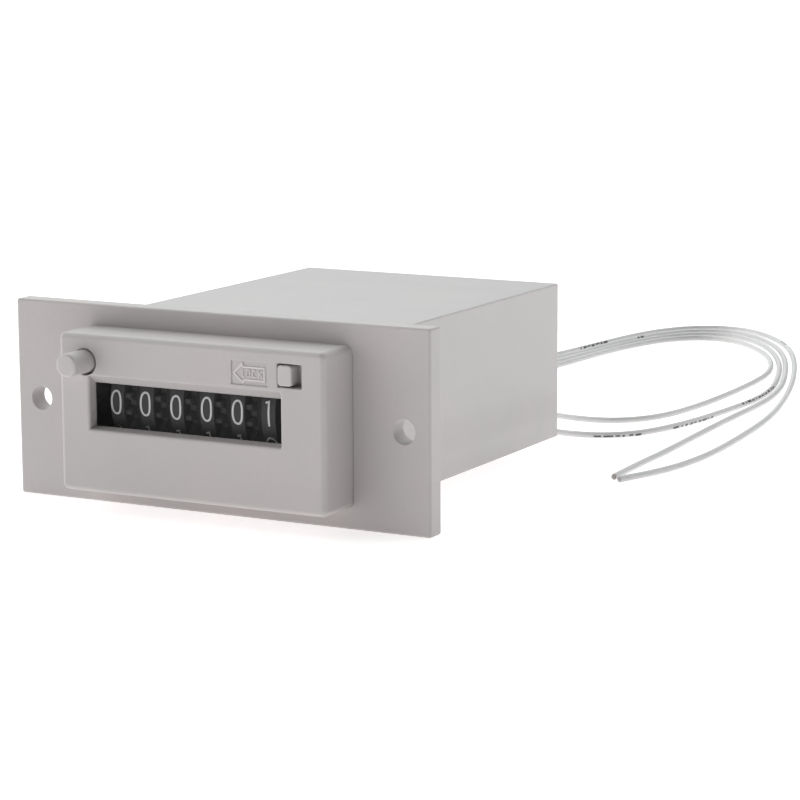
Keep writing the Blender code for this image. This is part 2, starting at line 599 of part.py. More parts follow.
LEAD_START = 72.7
Z = WIRE_Z
LEAD_A = [
    (-13.0, LEAD_START, 16.0), (-13.0, 78, 15.9), (-13.0, 90, 14.0), (-13.0, 104, 9.6),
    (-13.0, 117, 4.9), (-12.9, 130, 1.7), (-12.8, 143, 0.75), (-12.6, 154, Z),
    (-11.6, 168, Z), (-9.9, 181, Z), (-6.4, 192.5, Z), (-0.8, 198.4, Z), (5.5, 198.0, Z),
    (11.8, 193.4, Z), (17.4, 186.8, Z), (21.9, 179.6, Z), (25.8, 171.2, Z), (29.0, 160.9, Z),
    (30.4, 150.5, Z), (31.0, 138, Z), (31.0, 126, Z), (30.2, 114.5, Z), (27.8, 105.2, Z),
    (23.0, 99.6, Z), (16.8, 98.4, Z), (10.0, 99.9, Z),
    (1.0, 103.0, Z), (-8.5, 105.5, Z), (-15.5, 111, Z), (-18.9, 121, Z), (-19.0, 134, Z),
    (-18.0, 147, Z), (-16.8, 160, Z), (-15.2, 173, Z), (-13.3, 187, Z), (-10.2, 199.4, Z),
    (-4.7, 206.7, Z), (1.8, 208.2, Z), (8.1, 205.2, Z), (14.5, 198.8, Z), (20.9, 189.0, Z),
    (27.1, 175.9, Z), (32.4, 161.9, Z), (36.5, 149.2, Z), (39.3, 137, Z), (40.6, 125, Z),
    (41.0, 112.4, Z), (41.6, 100, Z), (42.3, 88, Z), (43.0, 76, Z), (43.4, 64, Z), (44.0, 52.5, Z)]
LEAD_B = [
    (-15.0, LEAD_START, 16.0), (-15.0, 78, 15.9), (-15.0, 90, 14.2), (-15.0, 104, 10.0),
    (-15.0, 117, 5.3), (-15.0, 130, 2.0), (-15.0, 143, 0.8), (-14.8, 156, Z),
    (-13.5, 169, Z), (-11.9, 183, Z), (-8.4, 195.8, Z), (-3.2, 202.4, Z), (3.4, 203.6, Z),
    (9.6, 200.2, Z), (15.6, 193.6, Z), (21.4, 184.4, Z), (27.1, 172.4, Z), (31.5, 160.6, Z),
    (34.9, 149.6, Z), (37.1, 139.5, Z), (37.9, 129.0, Z), (37.4, 118.5, Z), (36.4, 107.5, Z),
    (34.4, 97.0, Z), (30.8, 88.6, Z), (25.0, 84.6, Z), (18.0, 84.6, Z), (10.5, 86.6, Z),
    (0.0, 89.0, Z), (-11.5, 92.0, Z), (-19.0, 98.5, Z),
    (-22.8, 110, Z), (-23.2, 124, Z), (-22.2, 140, Z), (-20.4, 154, Z), (-18.4, 167, Z),
    (-16.9, 180, Z), (-15.2, 193, Z), (-12.0, 204.6, Z), (-6.4, 211.8, Z), (0.4, 213.6, Z),
    (7.0, 210.8, Z), (13.4, 204.6, Z), (20.2, 194.8, Z), (27.0, 181.0, Z), (33.1, 165.2, Z),
    (38.1, 150.3, Z), (42.2, 136.0, Z), (45.6, 122.0, Z), (47.9, 109.0, Z), (49.4, 95.5, Z),
    (50.4, 82.5, Z), (50.4, 71.5, Z), (48.9, 61.0, Z), (45.6, 51.0, Z)]


def make_leads():
    pvc = material("lead_pvc", (0.80, 0.79, 0.77), 0.45)
    tube("lead_wire_a", smooth_route(LEAD_A, 80), WIRE_R, pvc, 2)
    tube("lead_wire_b", smooth_route(LEAD_B, 80), WIRE_R, pvc, 2)
    # stubs inside the casing, from the coil's rear flange to the grommet
    xa, xb = EXIT_X + WIRE_GAP / 2, EXIT_X - WIRE_GAP / 2
    tube("inner_lead_a", smooth_route([(xa, 68.2, EXIT_Z), (xa, 66.5, EXIT_Z), (-12.4, 64.4, 17.8),
                                       (-9.0, 62.8, 21.0), (-4.4, 61.95, 21.6)], 12), 0.45, pvc, 2)
    tube("inner_lead_b", smooth_route([(xb, 68.2, EXIT_Z), (xb, 66.5, EXIT_Z), (-14.2, 64.0, 16.8),
                                       (-10.5, 62.4, 17.6), (-5.0, 61.95, 17.2)], 12), 0.45, pvc, 2)


make_bezel()
make_casing()
make_chassis()
make_wheels()
make_pinions()
make_button()
make_lock()
make_comb()
make_magnet()
make_small_parts()
make_leads()

for ob in list(cutters.objects):
    ob.hide_render = True
    ob.display_type = 'WIRE'
bpy.context.view_layer.update()
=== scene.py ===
"""Looks of the six-digit electromechanical panel counter.

Working millimetres, as in the construction script: x to the right seen from the
front, y backwards with y = 0 on the flange's front face, z up with z = 0 on the
flange's lower edge. TO_ROW takes them to metres in the shared frame.
"""
import math
import random

import bpy
import bmesh
import numpy as np
from mathutils import Matrix, Vector


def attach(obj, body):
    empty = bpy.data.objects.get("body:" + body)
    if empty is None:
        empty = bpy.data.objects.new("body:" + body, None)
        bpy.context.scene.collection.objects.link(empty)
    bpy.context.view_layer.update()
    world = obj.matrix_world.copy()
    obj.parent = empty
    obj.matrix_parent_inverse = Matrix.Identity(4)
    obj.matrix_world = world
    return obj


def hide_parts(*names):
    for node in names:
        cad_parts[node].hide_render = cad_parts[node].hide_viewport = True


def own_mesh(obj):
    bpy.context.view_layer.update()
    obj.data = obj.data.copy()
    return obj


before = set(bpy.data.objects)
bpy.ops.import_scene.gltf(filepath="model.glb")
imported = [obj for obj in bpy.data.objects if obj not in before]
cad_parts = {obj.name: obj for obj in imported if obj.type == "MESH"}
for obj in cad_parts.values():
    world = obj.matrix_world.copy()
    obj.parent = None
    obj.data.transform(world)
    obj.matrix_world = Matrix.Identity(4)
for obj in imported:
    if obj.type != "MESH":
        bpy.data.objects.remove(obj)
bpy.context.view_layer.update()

SHIFT_Y = -29.0
TO_ROW = Matrix.Scale(0.001, 4) @ Matrix.Translation((0.0, SHIFT_Y, 0.0))
scene = bpy.context.scene


def row(p):
    return Vector((p[0], p[1] + SHIFT_Y, p[2])) * 0.001


# ---------------------------------------------------------------- dimensions
FLANGE_W, FLANGE_H, FLANGE_T = 75.0, 31.8, 3.5
HOLE_X, HOLE_R, MID_Z = 33.0, 1.9, 15.9
CASE_X, CASE_Z0, CASE_Z1, CASE_BACK, CASE_WALL = 24.8, 2.5, 29.3, 71.4, 1.6
NOSE_X0, NOSE_X1, NOSE_Z0, NOSE_Z1, NOSE_Y, NOSE_IN_Y = -23.6, 24.2, 3.4, 28.4, -8.4, -6.46
WHEEL_Y, WHEEL_Z, WHEEL_R, PITCH, WHEEL_X1, BAND = 4.3, 17.4, 9.1, 5.5, 12.24, 1.25
BUTTON_X, BUTTON_Z, BUTTON_R, BUTTON_TIP_Y = -18.85, 24.1, 1.85, -13.4
SLOT = (16.02, 20.2, 22.7, 26.3)
EXIT_X, EXIT_Z = -14.0, 16.0
WIRE_R = 0.55

# ---------------------------------------------------------------- camera
AZ, EL, ROLL = math.radians(28.427), math.radians(9.994), math.radians(-0.275)
DIST, FOCAL_PX = 0.44566, 2828.0
target = row((21.522, 20.0, 16.74))
back = Vector((math.sin(AZ) * math.cos(EL), -math.cos(AZ) * math.cos(EL), math.sin(EL)))
right = (-back).cross(Vector((0, 0, 1))).normalized()
up = right.cross(-back)
cam_r = math.cos(ROLL) * right + math.sin(ROLL) * up
cam_u = -math.sin(ROLL) * right + math.cos(ROLL) * up
cam_data = bpy.data.cameras.new("camera")
cam_data.sensor_fit = 'HORIZONTAL'
cam_data.sensor_width = 36.0
cam_data.lens = FOCAL_PX * 36.0 / 800.0
cam_data.clip_start, cam_data.clip_end = 0.01, 50.0
cam = bpy.data.objects.new("camera", cam_data)
scene.collection.objects.link(cam)
eye = target + back * DIST
cam.matrix_world = Matrix((
    (cam_r.x, cam_u.x, back.x, eye.x),
    (cam_r.y, cam_u.y, back.y, eye.y),
    (cam_r.z, cam_u.z, back.z, eye.z),
    (0, 0, 0, 1)))
scene.camera = cam


# ---------------------------------------------------------------- materials
class Graph:
    """Short hand for building a node material in object millimetres."""

    def __init__(self, name):
        self.mat = bpy.data.materials.new(name)
        self.mat.use_nodes = True
        self.t = self.mat.node_tree
        self.b = self.t.nodes["Principled BSDF"]
        tc = self.t.nodes.new("ShaderNodeTexCoord")
        mul = self.t.nodes.new("ShaderNodeVectorMath")
        mul.operation = 'SCALE'
        mul.inputs["Scale"].default_value = 1000.0
        self.t.links.new(tc.outputs["Object"], mul.inputs[0])
        self.mm = mul.outputs[0]

    def noise(self, scale, detail=2.0, rough=0.5, vec=None, distortion=0.0):
        n = self.t.nodes.new("ShaderNodeTexNoise")
        n.inputs["Scale"].default_value = scale
        n.inputs["Detail"].default_value = detail
        n.inputs["Roughness"].default_value = rough
        n.inputs["Distortion"].default_value = distortion
        self.t.links.new(vec or self.mm, n.inputs["Vector"])
        return n.outputs["Fac"]

    def voronoi(self, scale, vec=None):
        n = self.t.nodes.new("ShaderNodeTexVoronoi")
        n.inputs["Scale"].default_value = scale
        self.t.links.new(vec or self.mm, n.inputs["Vector"])
        return n.outputs["Distance"]

    def stretch(self, x, y, z):
        m = self.t.nodes.new("ShaderNodeVectorMath")
        m.operation = 'MULTIPLY'
        m.inputs[1].default_value = (x, y, z)
        self.t.links.new(self.mm, m.inputs[0])
        return m.outputs[0]

    def math(self, op, a, b=0.5, c=0.5, clamp=False):
        m = self.t.nodes.new("ShaderNodeMath")
        m.operation = op
        m.use_clamp = clamp
        for i, v in enumerate((a, b, c)):
            if isinstance(v, (int, float)):
                m.inputs[i].default_value = v
            else:
                self.t.links.new(v, m.inputs[i])
        return m.outputs[0]

    def remap(self, v, a0, a1, b0, b1):
        m = self.t.nodes.new("ShaderNodeMapRange")
        m.clamp = True
        for i, q in zip((1, 2, 3, 4), (a0, a1, b0, b1)):
            m.inputs[i].default_value = q
        self.t.links.new(v, m.inputs[0])
        return m.outputs[0]

    def mix(self, fac, a, b):
        m = self.t.nodes.new("ShaderNodeMix")
        m.data_type = 'RGBA'
        if isinstance(fac, (int, float)):
            m.inputs[0].default_value = fac
        else:
            self.t.links.new(fac, m.inputs[0])
        for i, v in ((6, a), (7, b)):
            if isinstance(v, tuple):
                m.inputs[i].default_value = (*v, 1.0)
            else:
                self.t.links.new(v, m.inputs[i])
        return m.outputs[2]

    def color(self, c):
        self.t.links.new(c, self.b.inputs["Base Color"])

    def rough(self, r):
        self.t.links.new(r, self.b.inputs["Roughness"])

    def set(self, **kw):
        for k, v in kw.items():
            self.b.inputs[k.replace('_', ' ')].default_value = v

    def bump(self, height, distance, strength=1.0, normal=None):
        n = self.t.nodes.new("ShaderNodeBump")
        n.inputs["Strength"].default_value = strength
        n.inputs["Distance"].default_value = distance
        self.t.links.new(height, n.inputs["Height"])
        if normal is not None:
            self.t.links.new(normal, n.inputs["Normal"])
        return n.outputs["Normal"]

    def normal(self, n):
        self.t.links.new(n, self.b.inputs["Normal"])


def tone(c, k):
    return tuple(min(1.0, v * k) for v in c)


def moulded(name, base, rough=(0.40, 0.50), grain=9.0, depth=0.000006, wave=0.00002, spec=0.5,
            warm=(1.012, 1.0, 0.985)):
    """Injection-moulded plastic: fine spark-eroded grain, slow waviness, faint flow mottling."""
    g = Graph(name)
    fine = g.noise(grain, 3.0, 0.6)
    pits = g.voronoi(grain * 1.7)
    slow = g.noise(0.06, 2.0, 0.5)
    mottle = g.noise(1.6, 5.0, 0.62)
    speck = g.noise(24.0, 1.0, 0.5)
    a = g.mix(g.remap(slow, 0.35, 0.65, 0.0, 1.0), tone(base, 0.975),
              tuple(min(1.0, v * 1.02 * w) for v, w in zip(base, warm)))
    b = g.mix(g.remap(mottle, 0.40, 0.62, 0.0, 0.30), a, tone(base, 0.945))
    c = g.mix(g.remap(speck, 0.60, 0.74, 0.0, 0.35), b, tone(base, 1.08))
    g.color(c)
    g.rough(g.remap(g.math('ADD', g.math('MULTIPLY', fine, 0.6), g.math('MULTIPLY', mottle, 0.4)),
                    0.35, 0.65, rough[0], rough[1]))
    g.set(Specular_IOR_Level=spec, IOR=1.53)
    h = g.math('ADD', g.math('MULTIPLY', fine, 0.7), g.math('MULTIPLY', pits, 0.5))
    n1 = g.bump(g.noise(0.11, 1.0, 0.4), wave)
    g.normal(g.bump(h, depth, 1.0, n1))
    return g.mat


def metal(name, base, rough=(0.25, 0.4), lines=None, depth=0.000003, grain=4.0):
    g = Graph(name)
    vec = g.stretch(*lines) if lines else g.mm
    brush = g.noise(grain, 3.0, 0.6, vec)
    cloud = g.noise(0.5, 4.0, 0.6)
    g.color(g.mix(g.remap(cloud, 0.35, 0.65, 0.0, 1.0), tone(base, 0.86), tone(base, 1.08)))
    g.rough(g.remap(brush, 0.3, 0.7, rough[0], rough[1]))
    g.set(Metallic=1.0)
    g.normal(g.bump(brush, depth))
    return g.mat


GREY = (0.526, 0.502, 0.502)
mat_bezel = moulded("bezel_abs", GREY, (0.42, 0.52))
# painted highlight: the raised arrow and letters are the bezel's own plastic, coloured 1.3 times lighter for the light
# on their ridges; their roughness is also lower
mat_relief_painted_highlight = moulded("bezel_abs_painted_highlight", tone(GREY, 1.30), (0.30, 0.38), grain=11.0, depth=0.000003)
mat_case = moulded("casing_abs", tone(GREY, 1.0), (0.13, 0.21), grain=7.0, depth=0.0000015, wave=0.00002)
mat_button = moulded("button_abs", tone(GREY, 1.03), (0.36, 0.46), grain=11.0)
mat_slider = moulded("slider_abs", tone(GREY, 1.06), (0.34, 0.44), grain=11.0)
mat_black = moulded("black_wheel_plastic", (0.034, 0.034, 0.036), (0.62, 0.74), grain=8.0,
                    depth=0.000008, spec=0.25, warm=(1.0, 1.0, 1.0))
mat_band = moulded("digit_band_black", (0.046, 0.046, 0.048), (0.60, 0.70), grain=8.0,
                   depth=0.000006, spec=0.3, warm=(1.0, 1.0, 1.0))


def flank_with_painted_fill():
    """Wheel flanks: near black at the rim, lightened towards the hub by painted fill light on the deep shaded parts."""
    g = Graph("wheel_flank_grey")
    off = g.t.nodes.new("ShaderNodeVectorMath")
    off.operation = 'SUBTRACT'
    off.inputs[1].default_value = (0.0, WHEEL_Y + SHIFT_Y, WHEEL_Z)
    g.t.links.new(g.mm, off.inputs[0])
    flat = g.t.nodes.new("ShaderNodeVectorMath")
    flat.operation = 'MULTIPLY'
    flat.inputs[1].default_value = (0.0, 1.0, 1.0)
    g.t.links.new(off.outputs[0], flat.inputs[0])
    size = g.t.nodes.new("ShaderNodeVectorMath")
    size.operation = 'LENGTH'
    g.t.links.new(flat.outputs[0], size.inputs[0])
    fine = g.noise(8.0, 3.0, 0.6)
    # painted fill light: colour goes from near black at r 7.3 mm to grey at r 4.9 mm, so the deep parts in shade read
    # lighter
    depth = g.remap(size.outputs["Value"], 7.3, 4.9, 0.0, 1.0)
    base = g.mix(depth, (0.056, 0.056, 0.057), (0.46, 0.46, 0.46))
    g.color(g.mix(g.remap(fine, 0.4, 0.7, 0.0, 0.2), base, (0.06, 0.06, 0.06)))
    g.rough(g.remap(fine, 0.35, 0.65, 0.62, 0.76))
    g.set(Specular_IOR_Level=0.2)
    g.normal(g.bump(fine, 0.000006))
    return g.mat


def printed_white():
    g = Graph("digit_white")
    wear = g.noise(5.0, 4.0, 0.6)
    fine = g.noise(18.0, 2.0, 0.5)
    g.color(g.mix(g.remap(wear, 0.52, 0.72, 0.0, 0.35), (0.70, 0.71, 0.70), (0.42, 0.43, 0.43)))
    g.rough(g.remap(fine, 0.3, 0.7, 0.45, 0.6))
    g.normal(g.bump(fine, 0.000006))
    return g.mat


def insulation():
    g = Graph("lead_pvc")
    slow = g.noise(0.05, 2.0, 0.5)
    fine = g.noise(3.0, 3.0, 0.55)
    g.color(g.mix(g.remap(slow, 0.35, 0.65, 0.0, 1.0), (0.63, 0.63, 0.63), (0.69, 0.688, 0.685)))
    g.rough(g.remap(fine, 0.3, 0.7, 0.32, 0.44))
    g.set(Subsurface_Weight=0.12, Subsurface_Radius=(0.001, 0.0008, 0.0006), Subsurface_Scale=0.3)
    g.normal(g.bump(fine, 0.000008))
    return g.mat


def ink():
    g = Graph("print_ink")
    blot = g.noise(7.0, 3.0, 0.6)
    g.color(g.mix(g.remap(blot, 0.4, 0.7, 0.0, 1.0), (0.035, 0.036, 0.045), (0.16, 0.16, 0.18)))
    g.rough(g.remap(blot, 0.3, 0.7, 0.40, 0.55))
    return g.mat


def rubber():
    g = Graph("grommet_rubber")
    fine = g.noise(9.0, 4.0, 0.6)
    bloom = g.noise(0.9, 4.0, 0.6)
    g.color(g.mix(g.remap(bloom, 0.4, 0.65, 0.0, 1.0), (0.27, 0.27, 0.27), (0.34, 0.34, 0.335)))
    g.rough(g.remap(fine, 0.3, 0.7, 0.62, 0.8))
    g.normal(g.bump(fine, 0.00001))
    return g.mat


def coil_tape():
    g = Graph("coil_tape")
    wraps = g.noise(2.2, 1.0, 0.4, g.stretch(0.02, 1.0, 0.02))
    cloud = g.noise(0.6, 3.0, 0.6)
    g.color(g.mix(g.remap(cloud, 0.35, 0.65, 0.0, 1.0), (0.50, 0.22, 0.045), (0.62, 0.33, 0.08)))
    g.rough(g.remap(wraps, 0.3, 0.7, 0.22, 0.42))
    g.set(Coat_Weight=0.4, Coat_Roughness=0.15)
    g.normal(g.bump(wraps, 0.00003))
    return g.mat


mat_white = printed_white()
mat_flank_painted_light = flank_with_painted_fill()
mat_pvc = insulation()
mat_ink = ink()
mat_rubber = rubber()
mat_tape = coil_tape()
mat_ivory = moulded("natural_acetal", (0.78, 0.76, 0.68), (0.34, 0.46), grain=6.0)
mat_nylon = moulded("natural_nylon", (0.74, 0.72, 0.64), (0.42, 0.55), grain=6.0)
mat_zinc = metal("zinc_plated_steel", (0.60, 0.60, 0.59), (0.28, 0.42), (1.0, 0.12, 1.0))
mat_iron = metal("soft_iron", (0.48, 0.48, 0.48), (0.34, 0.5), (0.3, 1.0, 0.3))
mat_bright = metal("ground_steel", (0.66, 0.66, 0.67), (0.14, 0.24), (4.0, 0.2, 0.2))
mat_spring = metal("spring_steel", (0.46, 0.46, 0.48), (0.22, 0.34))
mat_screw = metal("zinc_screw", (0.62, 0.62, 0.60), (0.24, 0.36))
mat_copper = metal("tinned_copper", (0.58, 0.55, 0.52), (0.3, 0.45), grain=9.0)

# painted glow: a faint emission on the black plastic of the drums and wheel flanks stands in for light scattered inside
# the window
for mat, painted_glow in ((mat_band, 0.009), (mat_flank_painted_light, 0.013)):
    shader = next(n for n in mat.node_tree.nodes if n.type == 'BSDF_PRINCIPLED')
    shader.inputs["Emission Color"].default_value = (1.0, 1.0, 1.0, 1.0)
    shader.inputs["Emission Strength"].default_value = painted_glow

node_finish = {
    "chassis_frame": mat_zinc, "wheel_shaft": mat_bright, "pinion_shaft": mat_bright,
    "reset_shaft": mat_bright, "armature_pin": mat_bright, "armature_plate": mat_iron,
    "magnet_core": mat_iron, "magnet_yoke": mat_zinc, "coil_bobbin": mat_nylon,
    "coil_winding": mat_tape, "drive_lever": mat_ivory, "reset_comb": mat_ivory,
    "reset_spring": mat_spring, "armature_spring": mat_spring, "core_screw": mat_screw,
    "chassis_screw_left": mat_screw, "chassis_screw_right": mat_screw,
    "inner_lead_a": mat_pvc, "inner_lead_b": mat_pvc,
}
for k in range(1, 6):
    node_finish["transfer_pinion_%d" % k] = mat_ivory
for name, mat in node_finish.items():
    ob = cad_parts[name]
    if ob.material_slots:
        for s in ob.material_slots:
            s.material = mat
    else:
        ob.data.materials.append(mat)


# ---------------------------------------------------------------- mesh tools
def new_object(name, bm, mats=()):
    bmesh.ops.recalc_face_normals(bm, faces=bm.faces)
    me = bpy.data.meshes.new(name)
    bm.to_mesh(me)
    bm.free()
    for m in mats:
        me.materials.append(m)
    ob = bpy.data.objects.new(name, me)
    scene.collection.objects.link(ob)
    return ob


def block(x0, x1, y0, y1, z0, z1):
    bm = bmesh.new()
    bmesh.ops.create_cube(bm, size=1.0)
    bmesh.ops.scale(bm, vec=(x1 - x0, y1 - y0, z1 - z0), verts=bm.verts)
    bmesh.ops.translate(bm, vec=((x0 + x1) / 2, (y0 + y1) / 2, (z0 + z1) / 2), verts=bm.verts)
    return new_object("tmp", bm)


def round_edges(ob, radius, seg, pick):
    bm = bmesh.new()
    bm.from_mesh(ob.data)
    edges = [e for e in bm.edges if pick(e.verts[0].co, e.verts[1].co)]
    bmesh.ops.bevel(bm, geom=edges, offset=radius, segments=seg, profile=0.5, affect='EDGES')
    bm.to_mesh(ob.data)
    bm.free()
    return ob


def loft(rings, closed=False):
    """Skin through rings of points; ends are capped unless closed."""
    bm = bmesh.new()
    rows = [[bm.verts.new(p) for p in ring] for ring in rings]
    pairs = list(zip(rows, rows[1:])) + ([(rows[-1], rows[0])] if closed else [])
    for a, b in pairs:
        for i in range(len(a)):
            j = (i + 1) % len(a)
            bm.faces.new((a[i], a[j], b[j], b[i]))
    if not closed:
        bm.faces.new(rows[0])
        bm.faces.new(list(reversed(rows[-1])))
    return new_object("tmp", bm)


def turned(axis, profile, at, n=64, closed=False, phase=0.0):
    """A turned body: profile of (position along the axis, radius)."""
    rings = []
    for a, r in profile:
        ring = []
        for i in range(n):
            t = 2 * math.pi * (i + phase) / n
            u, v = r * math.cos(t), r * math.sin(t)
            ring.append({'X': (a, at[0] + u, at[1] + v), 'Y': (at[0] + u, a, at[1] + v),
                         'Z': (at[0] + u, at[1] + v, a)}[axis])
        rings.append(ring)
    return loft(rings, closed)


def rounded_rect(x0, x1, z0, z1, radii, y, n=8):
    """Ring round a rectangle in the xz plane; radii for bottom-left, bottom-right, top-right, top-left."""
    pts = []
    corners = [(x0, z0, 180, radii[0]), (x1, z0, 270, radii[1]), (x1, z1, 0, radii[2]), (x0, z1, 90, radii[3])]
    for cx, cz, a0, r in corners:
        ox = cx + (r if cx == x0 else -r)
        oz = cz + (r if cz == z0 else -r)
        for i in range(n + 1):
            t = math.radians(a0 + 90.0 * i / n)
            pts.append((ox + r * math.cos(t), y, oz + r * math.sin(t)))
    return pts


def boolean(ob, other, operation):
    mod = ob.modifiers.new("cut", 'BOOLEAN')
    mod.operation = operation
    mod.solver = 'EXACT'
    mod.object = other
    dg = bpy.context.evaluated_depsgraph_get()
    me = bpy.data.meshes.new_from_object(ob.evaluated_get(dg))
    ob.modifiers.clear()
    old = ob.data
    ob.data = me
    bpy.data.meshes.remove(old)
    bpy.data.objects.remove(other, do_unlink=True)
    return ob


def cut(ob, *others):
    for o in others:
        boolean(ob, o, 'DIFFERENCE')
    return ob


def join(ob, *others):
    for o in others:
        boolean(ob, o, 'UNION')
    return ob


def merge(ob, *others):
    """Adds the other meshes to ob's as further closed bodies."""
    bm = bmesh.new()
    bm.from_mesh(ob.data)
    for o in others:
        bm.from_mesh(o.data)
        bpy.data.objects.remove(o, do_unlink=True)
    bm.to_mesh(ob.data)
    bm.free()
    return ob


def piece(ob, name, mats, body, replaces=(), smooth=32.0, weighted=True, to_row=TO_ROW):
    """Finishes a mesh made in working millimetres and hangs it on its body."""
    ob.name = name
    ob.data.name = name
    bm = bmesh.new()
    bm.from_mesh(ob.data)
    bmesh.ops.remove_doubles(bm, verts=bm.verts, dist=0.0004)
    bmesh.ops.dissolve_degenerate(bm, dist=0.0002, edges=bm.edges)
    bm.to_mesh(ob.data)
    bm.free()
    ob.data.transform(to_row)
    if mats:
        ob.data.materials.clear()
        for m in mats:
            ob.data.materials.append(m)
    ob.data.shade_smooth()
    ob.data.set_sharp_from_angle(angle=math.radians(smooth))
    if weighted:
        w = ob.modifiers.new("weighted_normals", 'WEIGHTED_NORMAL')
        w.keep_sharp = True
        w.weight = 80
    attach(ob, body)
    if replaces:
        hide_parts(*replaces)
    return ob


def ribbon(points, half, place, profile, closed=False, round_ends=True):
    """A stroke as a closed strip. place(u, v, h) puts it on its surface; profile is
    [(across, height), ...] in half widths and units, from one side to the other."""
    p = np.array(points, float)
    n = len(p)
    secs = []
    for i in range(n):
        if closed:
            a, b = p[(i - 1) % n], p[(i + 1) % n]
        else:
            a, b = p[max(i - 1, 0)], p[min(i + 1, n - 1)]
        d0 = p[i] - a if (closed or i > 0) else b - p[i]
        d1 = b - p[i] if (closed or i < n - 1) else p[i] - a
        d0 = d0 / (np.linalg.norm(d0) + 1e-12)
        d1 = d1 / (np.linalg.norm(d1) + 1e-12)
        t = d0 + d1
        t = t / (np.linalg.norm(t) + 1e-12)
        nrm = np.array((-t[1], t[0]))
        k = 1.0 / max(0.45, float(np.dot(nrm, np.array((-d1[1], d1[0])))))
        secs.append((p[i], nrm, half * k))
    if not closed and round_ends:
        m = 4
        t0 = p[0] - p[1]; t0 /= np.linalg.norm(t0)
        t1 = p[-1] - p[-2]; t1 /= np.linalg.norm(t1)
        head = [(p[0] + t0 * half * math.cos(math.pi / 2 * i / m), secs[0][1],
                 half * max(0.12, math.sin(math.pi / 2 * i / m))) for i in range(m)]
        tail = [(p[-1] + t1 * half * math.cos(math.pi / 2 * i / m), secs[-1][1],
                 half * max(0.12, math.sin(math.pi / 2 * i / m))) for i in range(m)]
        secs = head + secs + tail[::-1]
    rings = []
    for c, nrm, h in secs:
        rings.append([place(c[0] + nrm[0] * h * a, c[1] + nrm[1] * h * a, z) for a, z in profile])
    return loft(rings, closed)


def arc(cx, cy, rx, ry, a0, a1, n=14):
    return [(cx + rx * math.cos(math.radians(a0 + (a1 - a0) * i / n)),
             cy + ry * math.sin(math.radians(a0 + (a1 - a0) * i / n))) for i in range(n + 1)]


def oval(cx, cy, rx, ry, n=36, power=2.0):
    pts = []
    for i in range(n):
        t = 2 * math.pi * i / n
        c, s = math.cos(t), math.sin(t)
        pts.append((cx + rx * math.copysign(abs(c) ** (2 / power), c),
                    cy + ry * math.copysign(abs(s) ** (2 / power), s)))
    return pts


def dense(pts, step=0.25):
    """Straight runs split so that they can follow a drum."""
    out = [pts[0]]
    for a, b in zip(pts, pts[1:]):
        k = max(1, int(math.hypot(b[0] - a[0], b[1] - a[1]) / step))
        out += [(a[0] + (b[0] - a[0]) * i / k, a[1] + (b[1] - a[1]) * i / k) for i in range(1, k + 1)]
    return out


# ---------------------------------------------------------------- leads
def smooth_route(ctrl, n):
    """n points, evenly spaced along a natural cubic spline through the control points."""
    c = np.array(ctrl, float)
    t = np.concatenate([[0.0], np.cumsum(np.linalg.norm(np.diff(c, axis=0), axis=1) ** 0.5)])
    h = np.diff(t)
    m = len(c)
    a = np.zeros((m, m))
    b = np.zeros((m, c.shape[1]))
    a[0, 0] = a[-1, -1] = 1.0
    for i in range(1, m - 1):
        a[i, i - 1], a[i, i], a[i, i + 1] = h[i - 1], 2 * (h[i - 1] + h[i]), h[i]
        b[i] = 6 * ((c[i + 1] - c[i]) / h[i] - (c[i] - c[i - 1]) / h[i - 1])
    k = np.linalg.solve(a, b)
    u = np.linspace(0.0, t[-1], 8000)
    j = np.clip(np.searchsorted(t, u, side='right') - 1, 0, m - 2)
    d0, d1, hj = (u - t[j])[:, None], (t[j + 1] - u)[:, None], h[j][:, None]
    p = (k[j] * d1 ** 3 + k[j + 1] * d0 ** 3) / (6 * hj) \
        + (c[j] / hj - k[j] * hj / 6) * d1 + (c[j + 1] / hj - k[j + 1] * hj / 6) * d0
    s = np.concatenate([[0.0], np.cumsum(np.linalg.norm(np.diff(p, axis=0), axis=1))])
    q = np.linspace(0.0, s[-1], n)
    return np.array([[np.interp(v, s, p[:, i]) for i in range(3)] for v in q])


Z = 0.58
LEAD_A = [
    (-13.0, 72.7, 16.0), (-13.0, 78, 15.9), (-13.0, 90, 14.0), (-13.0, 104, 9.6),
    (-13.0, 117, 4.9), (-12.9, 130, 1.7), (-12.8, 143, 0.75), (-12.6, 154, Z),
    (-11.6, 168, Z), (-9.9, 181, Z), (-6.4, 192.5, Z), (-0.8, 198.4, Z), (5.5, 198.0, Z),
    (11.8, 193.4, Z), (17.4, 186.8, Z), (21.9, 179.6, Z), (25.8, 171.2, Z), (29.0, 160.9, Z),
    (30.4, 150.5, Z), (31.0, 138, Z), (31.0, 126, Z), (30.2, 114.5, Z), (27.8, 105.2, Z),
    (23.0, 99.6, Z), (16.8, 98.4, Z), (10.0, 99.9, Z),
    (1.0, 103.0, Z), (-8.5, 105.5, Z), (-15.5, 111, Z), (-18.9, 121, Z), (-19.0, 134, Z),
    (-18.0, 147, Z), (-16.8, 160, Z), (-15.2, 173, Z), (-13.3, 187, Z), (-10.2, 199.4, Z),
    (-4.7, 206.7, Z), (1.8, 208.2, Z), (8.1, 205.2, Z), (14.5, 198.8, Z), (20.9, 189.0, Z),
    (27.1, 175.9, Z), (32.4, 161.9, Z), (36.5, 149.2, Z), (39.3, 137, Z), (40.6, 125, Z),
    (41.0, 112.4, Z), (41.6, 100, Z), (42.3, 88, Z), (43.0, 76, Z), (43.4, 64, Z), (44.0, 52.5, Z)]
